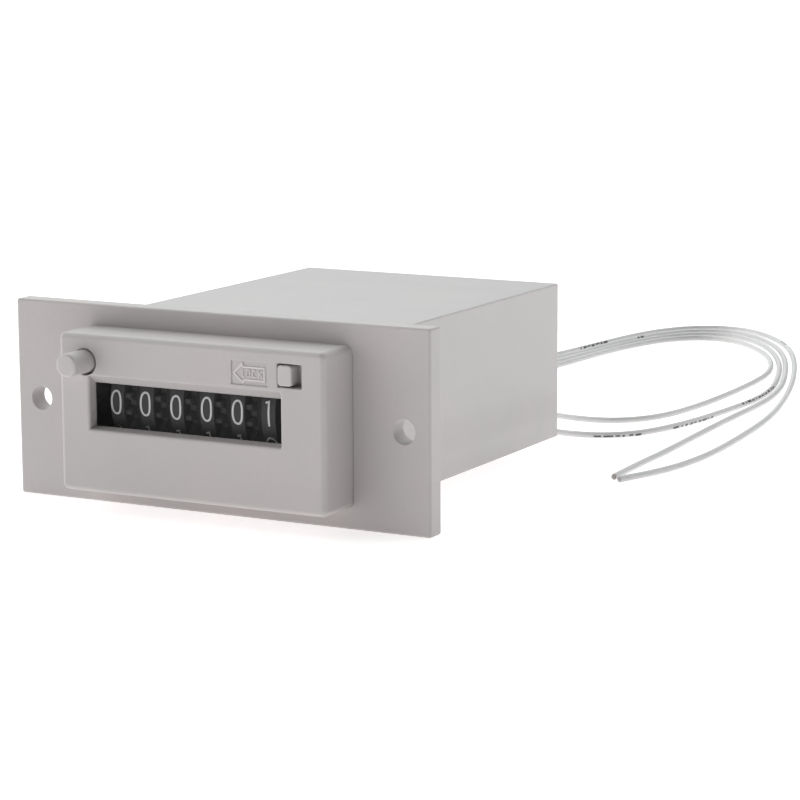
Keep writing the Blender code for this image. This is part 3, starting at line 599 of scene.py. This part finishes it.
LEAD_B = [
    (-15.0, 72.7, 16.0), (-15.0, 78, 15.9), (-15.0, 90, 14.2), (-15.0, 104, 10.0),
    (-15.0, 117, 5.3), (-15.0, 130, 2.0), (-15.0, 143, 0.8), (-14.8, 156, Z),
    (-13.5, 169, Z), (-11.9, 183, Z), (-8.4, 195.8, Z), (-3.2, 202.4, Z), (3.4, 203.6, Z),
    (9.6, 200.2, Z), (15.6, 193.6, Z), (21.4, 184.4, Z), (27.1, 172.4, Z), (31.5, 160.6, Z),
    (34.9, 149.6, Z), (37.1, 139.5, Z), (37.9, 129.0, Z), (37.4, 118.5, Z), (36.4, 107.5, Z),
    (34.4, 97.0, Z), (30.8, 88.6, Z), (25.0, 84.6, Z), (18.0, 84.6, Z), (10.5, 86.6, Z),
    (0.0, 89.0, Z), (-11.5, 92.0, Z), (-19.0, 98.5, Z),
    (-22.8, 110, Z), (-23.2, 124, Z), (-22.2, 140, Z), (-20.4, 154, Z), (-18.4, 167, Z),
    (-16.9, 180, Z), (-15.2, 193, Z), (-12.0, 204.6, Z), (-6.4, 211.8, Z), (0.4, 213.6, Z),
    (7.0, 210.8, Z), (13.4, 204.6, Z), (20.2, 194.8, Z), (27.0, 181.0, Z), (33.1, 165.2, Z),
    (38.1, 150.3, Z), (42.2, 136.0, Z), (45.6, 122.0, Z), (47.9, 109.0, Z), (49.4, 95.5, Z),
    (50.4, 82.5, Z), (50.4, 71.5, Z), (48.9, 61.0, Z), (45.6, 51.0, Z)]
SIDES = 20


def lead(name, ctrl, groups, node_name, seed):
    """Insulated lead as a fine tube. groups: (start, end, angle) of print along it, in mm;
    the angle is counted from the side that faces right of travel, upwards."""
    pts = smooth_route(ctrl, 1500)
    seg = np.linalg.norm(np.diff(pts, axis=0), axis=1)
    s = np.concatenate([[0.0], np.cumsum(seg)])
    tan = np.gradient(pts, axis=0)
    tan /= np.linalg.norm(tan, axis=1)[:, None]
    rng = random.Random(seed)
    marks = []
    for a, b, ang in groups:
        q = a
        while q < b:
            w = rng.choice((0.55, 0.8, 1.1, 1.5))
            marks.append((q, min(q + w, b), ang, rng.uniform(0.7, 1.25)))
            q += w + rng.choice((0.4, 0.55, 0.8))
    bm = bmesh.new()
    rows = []
    for i in range(len(pts)):
        side = np.cross(tan[i], (0, 0, 1.0))
        side /= np.linalg.norm(side)
        upv = np.cross(side, tan[i])
        ring = []
        for j in range(SIDES):
            t = 2 * math.pi * j / SIDES
            r = WIRE_R - 0.004
            ring.append(bm.verts.new(pts[i] + side * (r * math.cos(t)) + upv * (r * math.sin(t))))
        rows.append(ring)
    for i in range(len(pts) - 1):
        sm = (s[i] + s[i + 1]) / 2
        hit = [m for m in marks if m[0] <= sm <= m[1]]
        for j in range(SIDES):
            k = (j + 1) % SIDES
            f = bm.faces.new((rows[i][j], rows[i][k], rows[i + 1][k], rows[i + 1][j]))
            if hit:
                mid = 360.0 * (j + 0.5) / SIDES
                d = abs((mid - hit[0][2] + 180) % 360 - 180)
                if d < 24 * hit[0][3]:
                    f.material_index = 1
    bm.faces.new(rows[0])
    # cut end: the insulation turns in over a shallow bore round the strands
    last, t_end = rows[-1], tan[-1]
    prev = last
    for r, d in ((0.50, 0.03), (0.33, 0.03), (0.30, -0.25)):
        ring = []
        for v in last:
            c = Vector(pts[-1])
            ring.append(bm.verts.new(c + (v.co - c) * (r / (WIRE_R - 0.004)) + Vector(t_end) * d))
        for j in range(SIDES):
            k = (j + 1) % SIDES
            bm.faces.new((prev[j], prev[k], ring[k], ring[j]))
        prev = ring
    bm.faces.new(list(reversed(prev)))
    ob = new_object(name, bm)
    for m in (mat_pvc, mat_ink):
        ob.data.materials.append(m)
    ob = piece(ob, name, None, "housing", (node_name,), smooth=50.0, weighted=False)
    # seven tinned strands showing in the cut end
    strands = None
    side = np.cross(tan[-1], (0, 0, 1.0)); side /= np.linalg.norm(side)
    upv = np.cross(side, tan[-1])
    for i in range(7):
        off = np.zeros(3) if i == 0 else (side * math.cos(i * math.pi / 3) + upv * math.sin(i * math.pi / 3)) * 0.185
        rings = []
        for d, r in ((-0.5, 0.088), (0.05, 0.088), (0.08, 0.06)):
            c = pts[-1] + off + tan[-1] * d
            rings.append([c + (side * math.cos(a) + upv * math.sin(a)) * r
                          for a in (2 * math.pi * q / 10 for q in range(10))])
        o = loft(rings)
        strands = merge(strands, o) if strands else o
    piece(strands, name + "_strands", (mat_copper,), "housing", weighted=False)
    return ob, float(s[-1])


lead_a, len_a = lead("lead_a", LEAD_A, [(368.6, 370.8, 40.0)], "lead_wire_a", 3)
lead_b, len_b = lead("lead_b", LEAD_B, [
    (265.9, 274.6, 206.0), (243.8, 257.2, 206.0), (210.5, 231.2, 140.0),
    (397.3, 409.2, 28.0), (470.5, 475.0, 88.0)], "lead_wire_b", 7)


# ---------------------------------------------------------------- bezel
def make_bezel():
    body = block(-FLANGE_W / 2, FLANGE_W / 2, 0, FLANGE_T, 0, FLANGE_H)
    round_edges(body, 0.42, 5, lambda a, b: True)
    nose = block(NOSE_X0, NOSE_X1, NOSE_Y, 1.0, NOSE_Z0, NOSE_Z1)
    round_edges(nose, 1.1, 8, lambda a, b: abs(a.y - b.y) > 1)
    round_edges(nose, 0.9, 7, lambda a, b: a.y < NOSE_Y + 0.01 and b.y < NOSE_Y + 0.01)
    # fine root line where the nose stands on the flange
    groove = loft([rounded_rect(NOSE_X0 + 0.4, NOSE_X1 + 0.10, NOSE_Z0 - 0.10, NOSE_Z1 - 0.4, (1.2,) * 4, y)
                   for y in (-0.5, 0.14)])
    cut(body, groove)
    join(body, nose)
    spigot = block(-22.9, 22.9, 2.5, 7.5, 4.4, 27.4)
    cut(spigot, block(-17.5, 16.0, FLANGE_T, 8.0, 20.0, 28.0))
    join(body, spigot)
    cut(body, block(-22.2, 22.8, NOSE_IN_Y, 3.0, 4.8, 27.05))
    cut(body, block(-21.7, 21.7, 2.5, 8.5, 5.5, 27.05))
    cut(body, block(-21.7, 21.7, 7.0, 8.5, 5.5, 26.3))
    # window: walls and the rolled-over mouth as one cutter
    x0, x1, z0, z1 = -18.03, 16.50, 13.46, 21.84       # walls just behind the fillet
    ix0, ix1, iz0, iz1 = -18.0, 16.4, 13.72, 20.6      # walls at the back of the front wall
    fr, n = 0.40, 7
    radii = (0.12, 0.18, 0.45, 0.12)
    rings = []
    y_f = NOSE_Y

    def mouth(o, y):
        return rounded_rect(x0 - o, x1 + o, z0 - o, z1 + o, tuple(r + o for r in radii), y)
    rings.append(mouth(fr, y_f - 0.4))
    for i in range(n + 1):
        t = math.pi / 2 * i / n
        rings.append(mouth(fr * (1 - math.sin(t)), y_f + fr * (1 - math.cos(t))))
    rings.append(rounded_rect(ix0, ix1, iz0, iz1, radii, NOSE_IN_Y))
    rings.append(rounded_rect(ix0, ix1, iz0, iz1, radii, NOSE_IN_Y + 0.8))
    cut(body, loft(rings))
    # button hole with a small edge radius
    prof = [(NOSE_Y - 0.4, 2.23)] + [(NOSE_Y + 0.13 * (1 - math.cos(t)), 2.1 + 0.13 * (1 - math.sin(t)))
                                     for t in (math.pi / 2 * i / 4 for i in range(5))] + [(NOSE_IN_Y + 1, 2.1)]
    cut(body, turned('Y', prof, (BUTTON_X + 0.10, BUTTON_Z - 0.12), 64))
    # lock slot
    e = 0.2
    rings = [rounded_rect(SLOT[0] - e, SLOT[1] + e, SLOT[2] - e, SLOT[3] + e, (0.2 + e,) * 4, NOSE_Y - 0.4)]
    for i in range(5):
        t = math.pi / 2 * i / 4
        o = e * (1 - math.sin(t))
        rings.append(rounded_rect(SLOT[0] - o, SLOT[1] + o, SLOT[2] - o, SLOT[3] + o, (0.2 + o,) * 4,
                                  NOSE_Y + e * (1 - math.cos(t))))
    rings.append(rounded_rect(SLOT[0], SLOT[1], SLOT[2], SLOT[3], (0.2,) * 4, NOSE_IN_Y + 1))
    cut(body, loft(rings))
    # arrow panel
    e = 0.12
    rings = [rounded_rect(7.97 - e, 14.3 + e, 22.6 - e, 26.25 + e, (0.1 + e,) * 4, NOSE_Y - 0.4)]
    for i in range(4):
        t = math.pi / 2 * i / 3
        o = e * (1 - math.sin(t))
        rings.append(rounded_rect(7.97 - o, 14.3 + o, 22.6 - o, 26.25 + o, (0.1 + o,) * 4,
                                  NOSE_Y + e * (1 - math.cos(t))))
    rings.append(rounded_rect(7.97, 14.3, 22.6, 26.25, (0.1,) * 4, NOSE_Y + 0.2))
    cut(body, loft(rings))
    for sx in (-1, 1):
        prof = [(-0.5, HOLE_R + 0.14)] + [(0.14 * (1 - math.cos(t)), HOLE_R + 0.14 * (1 - math.sin(t)))
                                          for t in (math.pi / 2 * i / 4 for i in range(5))] \
            + [(FLANGE_T - 0.12, HOLE_R), (FLANGE_T + 0.01, HOLE_R + 0.12), (FLANGE_T + 0.5, HOLE_R + 0.12)]
        cut(body, turned('Y', prof, (sx * HOLE_X, MID_Z), 64))
    for sx in (-1, 1):
        join(body, turned('Y', [(NOSE_IN_Y - 0.8, 1.7), (-1.6, 1.7)], (sx * 18.9, 7.3), 32))
        cut(body, turned('Y', [(-5.8, 0.85), (-1.0, 0.85)], (sx * 18.9, 7.3), 24))
    # raised arrow and letters on the floor of the panel
    floor_y = NOSE_Y + 0.2

    def on_floor(u, v, h):
        return (u, floor_y - h, v)
    ridge = [(-1.35, -0.05), (-1.15, 0.05), (-0.8, 0.16), (-0.45, 0.18), (0.45, 0.18), (0.8, 0.16),
             (1.15, 0.05), (1.35, -0.05)]
    arrow = [(8.42, 24.38), (9.88, 25.86), (10.04, 25.36), (13.74, 25.36), (13.74, 23.38),
             (10.12, 23.38), (9.98, 22.98)]
    relief = ribbon(arrow, 0.13, on_floor, ridge, closed=True)
    w = 0.078
    letters = [
        [(9.92, 25.0), (9.92, 23.86), (10.32, 23.86)],
        None,
        arc(12.0, 24.42, 0.30, 0.53, 52, 308, 16),
        [(12.82, 24.98), (12.82, 23.84)],
        [(13.34, 24.98), (12.86, 24.42)],
        [(12.98, 24.5), (13.38, 23.84)],
    ]
    for st in letters:
        if st is None:
            o = ribbon(oval(10.96, 24.42, 0.29, 0.53, 24, 2.3), w, on_floor, ridge, closed=True)
        else:
            o = ribbon(st, w, on_floor, ridge)
        merge(relief, o)
    piece(relief, "arrow_relief", (mat_relief_painted_highlight,), "housing", smooth=40, weighted=False)
    return piece(body, "bezel_shell", (mat_bezel,), "housing", ("front_bezel",), smooth=40)


def make_casing():
    body = block(-CASE_X, CASE_X, FLANGE_T + 0.02, CASE_BACK, CASE_Z0, CASE_Z1)
    round_edges(body, 0.28, 5, lambda a, b: abs(a.y - b.y) > 1 or (a.y > 70 and b.y > 70))
    cut(body, block(-CASE_X + CASE_WALL, CASE_X - CASE_WALL, 0, CASE_BACK - CASE_WALL,
                    CASE_Z0 + CASE_WALL, CASE_Z1 - CASE_WALL))
    for x in (-20.5, 17.5):
        join(body, turned('Y', [(68.2, 3.0), (70.5, 3.0)], (x, MID_Z), 40))
        cut(body, turned('Y', [(60, 1.45), (80, 1.45)], (x, MID_Z), 32))
        cut(body, turned('Y', [(CASE_BACK - 1.5, 2.5), (CASE_BACK - 0.12, 2.5), (CASE_BACK + 0.02, 2.64), (80, 2.64)],
                         (x, MID_Z), 56))
    cut(body, turned('Y', [(60, 2.6), (80, 2.6)], (EXIT_X, EXIT_Z), 48))
    return piece(body, "casing_shell", (mat_case,), "housing", ("rear_casing",), smooth=40)


# ---------------------------------------------------------------- wheels
def toothed_ring(n, tip, root, tip_half, root_half, phase, x0, x1, ease=0.12):
    """A toothed disc with eased tooth tips, about the x axis."""
    def ring(k_tip, x):
        pts = []
        for k in range(n):
            c = phase + 360.0 / n * k
            seq = ((root, -root_half), (root + (tip - root) * 0.55, -(root_half + tip_half) / 2 - 0.4),
                   (tip - k_tip, -tip_half), (tip - k_tip, tip_half),
                   (root + (tip - root) * 0.55, (root_half + tip_half) / 2 + 0.4), (root, root_half))
            for r, a in seq:
                t = math.radians(c + a)
                pts.append((x, r * math.cos(t), r * math.sin(t)))
        return pts
    return loft([ring(ease, x0), ring(0, x0 + ease), ring(0, x1 - ease), ring(ease, x1)])


def drum(kind):
    e = 0.10
    prof = [(-BAND, 6.6), (-BAND, WHEEL_R - e)]
    for i in range(1, 5):
        t = math.pi / 2 * i / 4
        prof.append((-BAND + e * (1 - math.cos(t)), WHEEL_R - e + e * math.sin(t)))
    for i in range(4, -1, -1):
        t = math.pi / 2 * i / 4
        prof.append((BAND - e * (1 - math.cos(t)), WHEEL_R - e + e * math.sin(t)))
    prof += [(BAND, 6.6)]
    prof = [(-BAND + 0.02, 2.0)] + prof + [(BAND - 0.02, 2.0)]
    prof = prof + [(BAND - 0.02, 1.64), (-BAND + 0.02, 1.64)]
    body = turned('X', prof, (0, 0), 120, closed=True)
    parts = []
    if kind != 'units':
        parts.append(toothed_ring(20, 8.65, 7.1, 2.1, 5.6, 2.0 + 9.0, BAND - 0.3, BAND + 1.0))
    else:
        parts.append(toothed_ring(10, 6.4, 4.6, 1.0, 15.0, 9.0, BAND - 0.3, BAND + 1.2))
    if kind != 'last':
        parts.append(turned('X', [(-BAND - 0.8, 5.9), (-BAND - 0.7, 6.0), (-BAND + 0.3, 6.0)], (0, 0), 72))
        for a in (-9.0, 9.0):
            pts = []
            for r, h in ((5.5, -5.0), (7.05, -2.5), (7.05, 2.5), (5.5, 5.0)):
                t = math.radians(a + h)
                pts.append((r * math.cos(t), r * math.sin(t)))
            parts.append(loft([[(x, u, v) for u, v in pts] for x in (-BAND - 0.8, -BAND + 0.3)]))
    parts.append(turned('X', [(-BAND - 1.7, 2.35), (-BAND - 1.6, 2.5), (-BAND + 0.3, 2.5)], (0, 0), 48))
    parts.append(turned('X', [(BAND - 0.3, 2.5), (BAND + 1.0, 2.5), (BAND + 1.1, 2.35)], (0, 0), 48))
    return body, parts


HW = 0.165
PROFILE_FLAT = [(-1.0, -0.10), (-1.0, 0.012), (-0.8, 0.022), (0.8, 0.022), (1.0, 0.012), (1.0, -0.10)]
A0, B0 = 0.83, 1.80


def strokes(d):
    """Centre lines of a figure in a box of 1.6 x 3.5 mm, as (points, closed)."""
    if d == 0:
        return [(oval(0, 0, A0, B0, 44, 2.35), True)]
    if d == 1:
        return [([(-0.44, 1.76), (-0.16, 1.82), (0.02, 1.88)] +
                 dense([(0.02, 1.88), (0.08, -B0)])[1:], False)]
    if d == 2:
        return [(arc(0, 0.95, A0, 0.82, 165, -20, 18) + dense([(0.72, 0.62), (-A0, -B0)])[1:]
                 + dense([(-A0, -B0), (A0, -B0)])[1:], False)]
    if d == 3:
        return [(arc(-0.05, 0.90, 0.74, 0.86, 155, -90, 18) + arc(-0.05, -0.86, 0.84, 0.90, 90, -155, 20)[1:], False)]
    if d == 4:
        return [(dense([(0.42, -B0), (0.42, B0), (-A0, -0.8), (A0 + 0.05, -0.8)]), False)]
    if d == 5:
        return [(dense([(0.70, B0), (-0.60, B0), (-0.70, 0.18)]) + arc(-0.02, -0.66, 0.84, 1.10, 122, -150, 20), False)]
    if d == 6:
        return [(arc(0.05, 0.85, 0.84, 0.91, 48, 180, 12) + dense([(-0.79, 0.85), (-A0, -0.8)])[1:], False),
                (oval(0, -0.80, A0, 0.96, 32, 2.1), True)]
    if d == 7:
        return [(dense([(-A0, B0), (A0, B0), (-0.28, -B0)]), False)]
    if d == 8:
        return [(oval(0, 0.92, 0.70, 0.84, 30, 2.1), True), (oval(0, -0.88, A0, 0.88, 32, 2.1), True)]
    return [(arc(-0.05, -0.85, 0.84, 0.91, 228, 360, 12) + dense([(0.79, -0.85), (A0, 0.8)])[1:], False),
            (oval(0, 0.80, A0, 0.96, 32, 2.1), True)]


def figures(wheel_deg, du, dv):
    """Ten figures round a drum that has turned wheel_deg, printed du, dv off the true place."""
    out = None
    for d in range(10):
        def place(u, v, h, d=d):
            phi = math.radians(36.0 * d - wheel_deg) - (v + 0.05 + dv) / WHEEL_R
            r = WHEEL_R + h
            return (u + du, -r * math.cos(phi), -r * math.sin(phi))
        for pts, closed in strokes(d):
            o = ribbon(pts, HW, place, PROFILE_FLAT, closed=closed)
            out = merge(out, o) if out else o
    return out


UNEVEN = ((0.0, 0.26), (0.0, 0.10), (-0.05, 0.10), (-0.13, -0.07), (-0.26, 0.03), (-0.16, -0.10))


def make_wheels():
    for k in range(1, 7):
        kind = 'units' if k == 1 else ('last' if k == 6 else 'mid')
        turn = 36.0 if k == 1 else 0.0
        body, parts = drum(kind)
        rim = parts[0]
        merge(rim, *parts[1:])
        x = WHEEL_X1 - PITCH * (k - 1)
        at = Matrix.Translation((x, WHEEL_Y, WHEEL_Z))
        spin = Matrix.Rotation(math.radians(-turn), 4, 'X')
        place = TO_ROW @ at
        piece(body, "digit_drum_%d" % k, (mat_band,), "wheel_%d" % k,
              ("number_wheel_%d" % k,), to_row=place @ spin)
        piece(rim, "wheel_gear_%d" % k, (mat_flank_painted_light,), "wheel_%d" % k, to_row=place @ spin)
        piece(figures(turn, *UNEVEN[k - 1]), "figures_%d" % k, (mat_white,), "wheel_%d" % k, weighted=False, to_row=place)


# ---------------------------------------------------------------- controls
def make_button():
    r, y = BUTTON_R, BUTTON_TIP_Y
    prof = [(y, 0.02), (y + 0.004, 0.7), (y + 0.02, 1.2)]
    e = 0.42
    for i in range(0, 9):
        t = math.pi / 2 * i / 8
        prof.append((y + 0.03 + e * (1 - math.cos(t)), r - e + e * math.sin(t)))
    prof += [(NOSE_IN_Y + 0.3, r), (NOSE_IN_Y + 0.3, 2.35), (-5.3, 2.35), (-5.3, 1.1), (16.0, 1.1), (16.3, 0.8)]
    ob = turned('Y', prof, (BUTTON_X, BUTTON_Z), 72)
    return piece(ob, "reset_cap", (mat_button,), "button", ("reset_button",), smooth=40)


def make_slider():
    cap = block(16.17, 18.6, NOSE_Y - 0.25, -5.6, 22.95, 26.1)
    round_edges(cap, 0.55, 7, lambda a, b: abs(a.y - b.y) > 1)
    round_edges(cap, 0.24, 5, lambda a, b: a.y < -8.5 and b.y < -8.5)
    shoe = block(14.2, 20.7, NOSE_IN_Y + 0.3, -5.1, 23.1, 26.7)
    arm = block(-15.9, 14.6, NOSE_IN_Y + 0.3, -5.3, 24.9, 26.7)
    for o in (shoe, arm):
        round_edges(o, 0.12, 3, lambda a, b: True)
    join(cap, shoe, arm)
    return piece(cap, "lock_cap", (mat_slider,), "lock", ("lock_slider",), smooth=40)


def make_screws():
    for name, x in (("left", -20.5), ("right", 17.5)):
        y0 = CASE_BACK - 1.4
        e = 0.3
        prof = [(62.5, 0.3), (63.2, 1.0), (y0, 1.0), (y0, 2.05)]
        prof += [(y0 + 0.5, 2.12)]
        for i in range(1, 6):
            t = math.pi / 2 * i / 5
            prof.append((y0 + 0.5 + 0.68 * math.sin(t), 2.12 - 0.75 * (1 - math.cos(t))))
        prof += [(y0 + 1.2, 0.5)]
        s = turned('Y', prof, (x, MID_Z), 56)
        top = y0 + 1.2
        for a in (20.0, 110.0):
            c = block(-1.25, 1.25, top - 0.62, top + 1.0, -0.2, 0.2)
            c.data.transform(Matrix.Translation((x, 0, MID_Z)) @ Matrix.Rotation(math.radians(a), 4, 'Y'))
            cut(s, c)
        piece(s, "back_screw_" + name, (mat_screw,), "housing", ("casing_screw_" + name,), smooth=35)


def make_grommet():
    prof = [(68.6, 1.6), (68.6, 3.1), (69.5, 3.1), (69.6, 2.3), (CASE_BACK + 0.05, 2.3), (CASE_BACK + 0.05, 3.1)]
    for i in range(6):
        t = math.pi / 2 * i / 5
        prof.append((CASE_BACK + 0.45 + 0.53 * math.sin(t), 3.35 - 0.5 * (1 - math.cos(t))))
    prof += [(72.38, 2.2), (72.34, 0.3)]
    g = turned('Y', prof, (EXIT_X, EXIT_Z), 56)
    for dx in (-1.0, 1.0):
        rim = turned('Y', [(72.0, 0.85), (72.34, 0.85), (72.40, 0.78), (72.40, 0.62), (72.2, 0.56), (72.0, 0.56)],
                     (EXIT_X + dx, EXIT_Z), 28, closed=True)
        merge(g, rim)
    piece(g, "grommet", (mat_rubber,), "housing", ("lead_grommet",), smooth=40)


# ---------------------------------------------------------------- return springs
def make_spring(name, y0, y1, r, turns, at, wire):
    """A fixed coil from y0 to y1 about the given axis, hung on the housing."""
    rings = []
    for i in range(turns * 24 + 1):
        t = 2 * math.pi * i / 24
        out = Vector((math.cos(t), 0.0, math.sin(t)))
        along = Vector((-r * math.sin(t), (y1 - y0) / (2 * math.pi * turns), r * math.cos(t))).normalized()
        side = along.cross(out)
        mid = Vector((at[0], y0 + (y1 - y0) * i / (turns * 24), at[1])) + r * out
        rings.append([mid + wire * (math.cos(a) * out + math.sin(a) * side)
                      for a in (2 * math.pi * k / 10 for k in range(10))])
    coil = piece(loft(rings), name + "_coil", (mat_spring,), "housing", (name,),
                 smooth=60, weighted=False)
    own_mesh(coil)


make_bezel()
make_casing()
make_wheels()
make_button()
make_slider()
make_screws()
make_grommet()
make_spring("reset_spring", -4.9, 4.1, 1.65, 6, (BUTTON_X, BUTTON_Z), 0.22)
make_spring("armature_spring", 28.6, 30.5, 1.4, 3, (2.0, 22.6), 0.2)

# ---------------------------------------------------------------- floor and light
def paper():
    g = Graph("table_white")
    tooth = g.noise(0.8, 3.0, 0.6)
    g.color(g.mix(g.remap(tooth, 0.4, 0.6, 0.0, 1.0), (0.87, 0.87, 0.87), (0.89, 0.89, 0.89)))
    g.rough(g.remap(tooth, 0.3, 0.7, 0.55, 0.62))
    # the table is a lit acrylic sheet
    g.set(Specular_IOR_Level=0.3, Emission_Color=(1.03, 1.0, 1.0, 1.0), Emission_Strength=0.58)
    return g.mat


bm = bmesh.new()
bmesh.ops.create_grid(bm, x_segments=24, y_segments=24, size=6.0)
floor = new_object("table", bm, (paper(),))
floor.location = (0.0, 0.0, 0.0)

world = bpy.data.worlds.new("studio")
scene.world = world
world.use_nodes = True
sky = world.node_tree
coord = sky.nodes.new("ShaderNodeTexCoord")


def softbox(azimuth, elevation, tightness, strength, color):
    """A broad soft light far away; azimuth 0 is in front of the object, 90 to its right."""
    a, e = math.radians(azimuth), math.radians(elevation)
    dot = sky.nodes.new("ShaderNodeVectorMath")
    dot.operation = 'DOT_PRODUCT'
    dot.inputs[1].default_value = (math.sin(a) * math.cos(e), -math.cos(a) * math.cos(e), math.sin(e))
    sky.links.new(coord.outputs["Generated"], dot.inputs[0])
    last = dot.outputs["Value"]
    for op, v in (('MAXIMUM', 0.0), ('POWER', tightness)):
        m = sky.nodes.new("ShaderNodeMath")
        m.operation = op
        m.inputs[1].default_value = v
        sky.links.new(last, m.inputs[0])
        last = m.outputs[0]
    out = sky.nodes.new("ShaderNodeVectorMath")
    out.operation = 'SCALE'
    out.inputs[0].default_value = tuple(strength * c for c in color)
    sky.links.new(last, out.inputs["Scale"])
    return out.outputs[0]


COOL, WARM = (0.975, 1.0, 1.0), (1.03, 1.0, 1.0)
glow = None
for lamp in (softbox(0, 90, 4, 0.363, COOL), softbox(-90, 50, 5, 1.46, COOL), softbox(215, 35, 8, 1.90, COOL),
             softbox(145, 35, 8, 1.73, COOL), softbox(90, 50, 5, 0.066, WARM), softbox(-60, 8, 8, 1.50, WARM)):
    if glow is None:
        glow = lamp
        continue
    add = sky.nodes.new("ShaderNodeVectorMath")
    add.operation = 'ADD'
    sky.links.new(glow, add.inputs[0])
    sky.links.new(lamp, add.inputs[1])
    glow = add.outputs[0]
sky.links.new(glow, sky.nodes["Background"].inputs[0])

scene.view_settings.view_transform = 'Standard'
scene.view_settings.look = 'None'
scene.view_settings.exposure = 0.0
scene.view_settings.gamma = 1.0
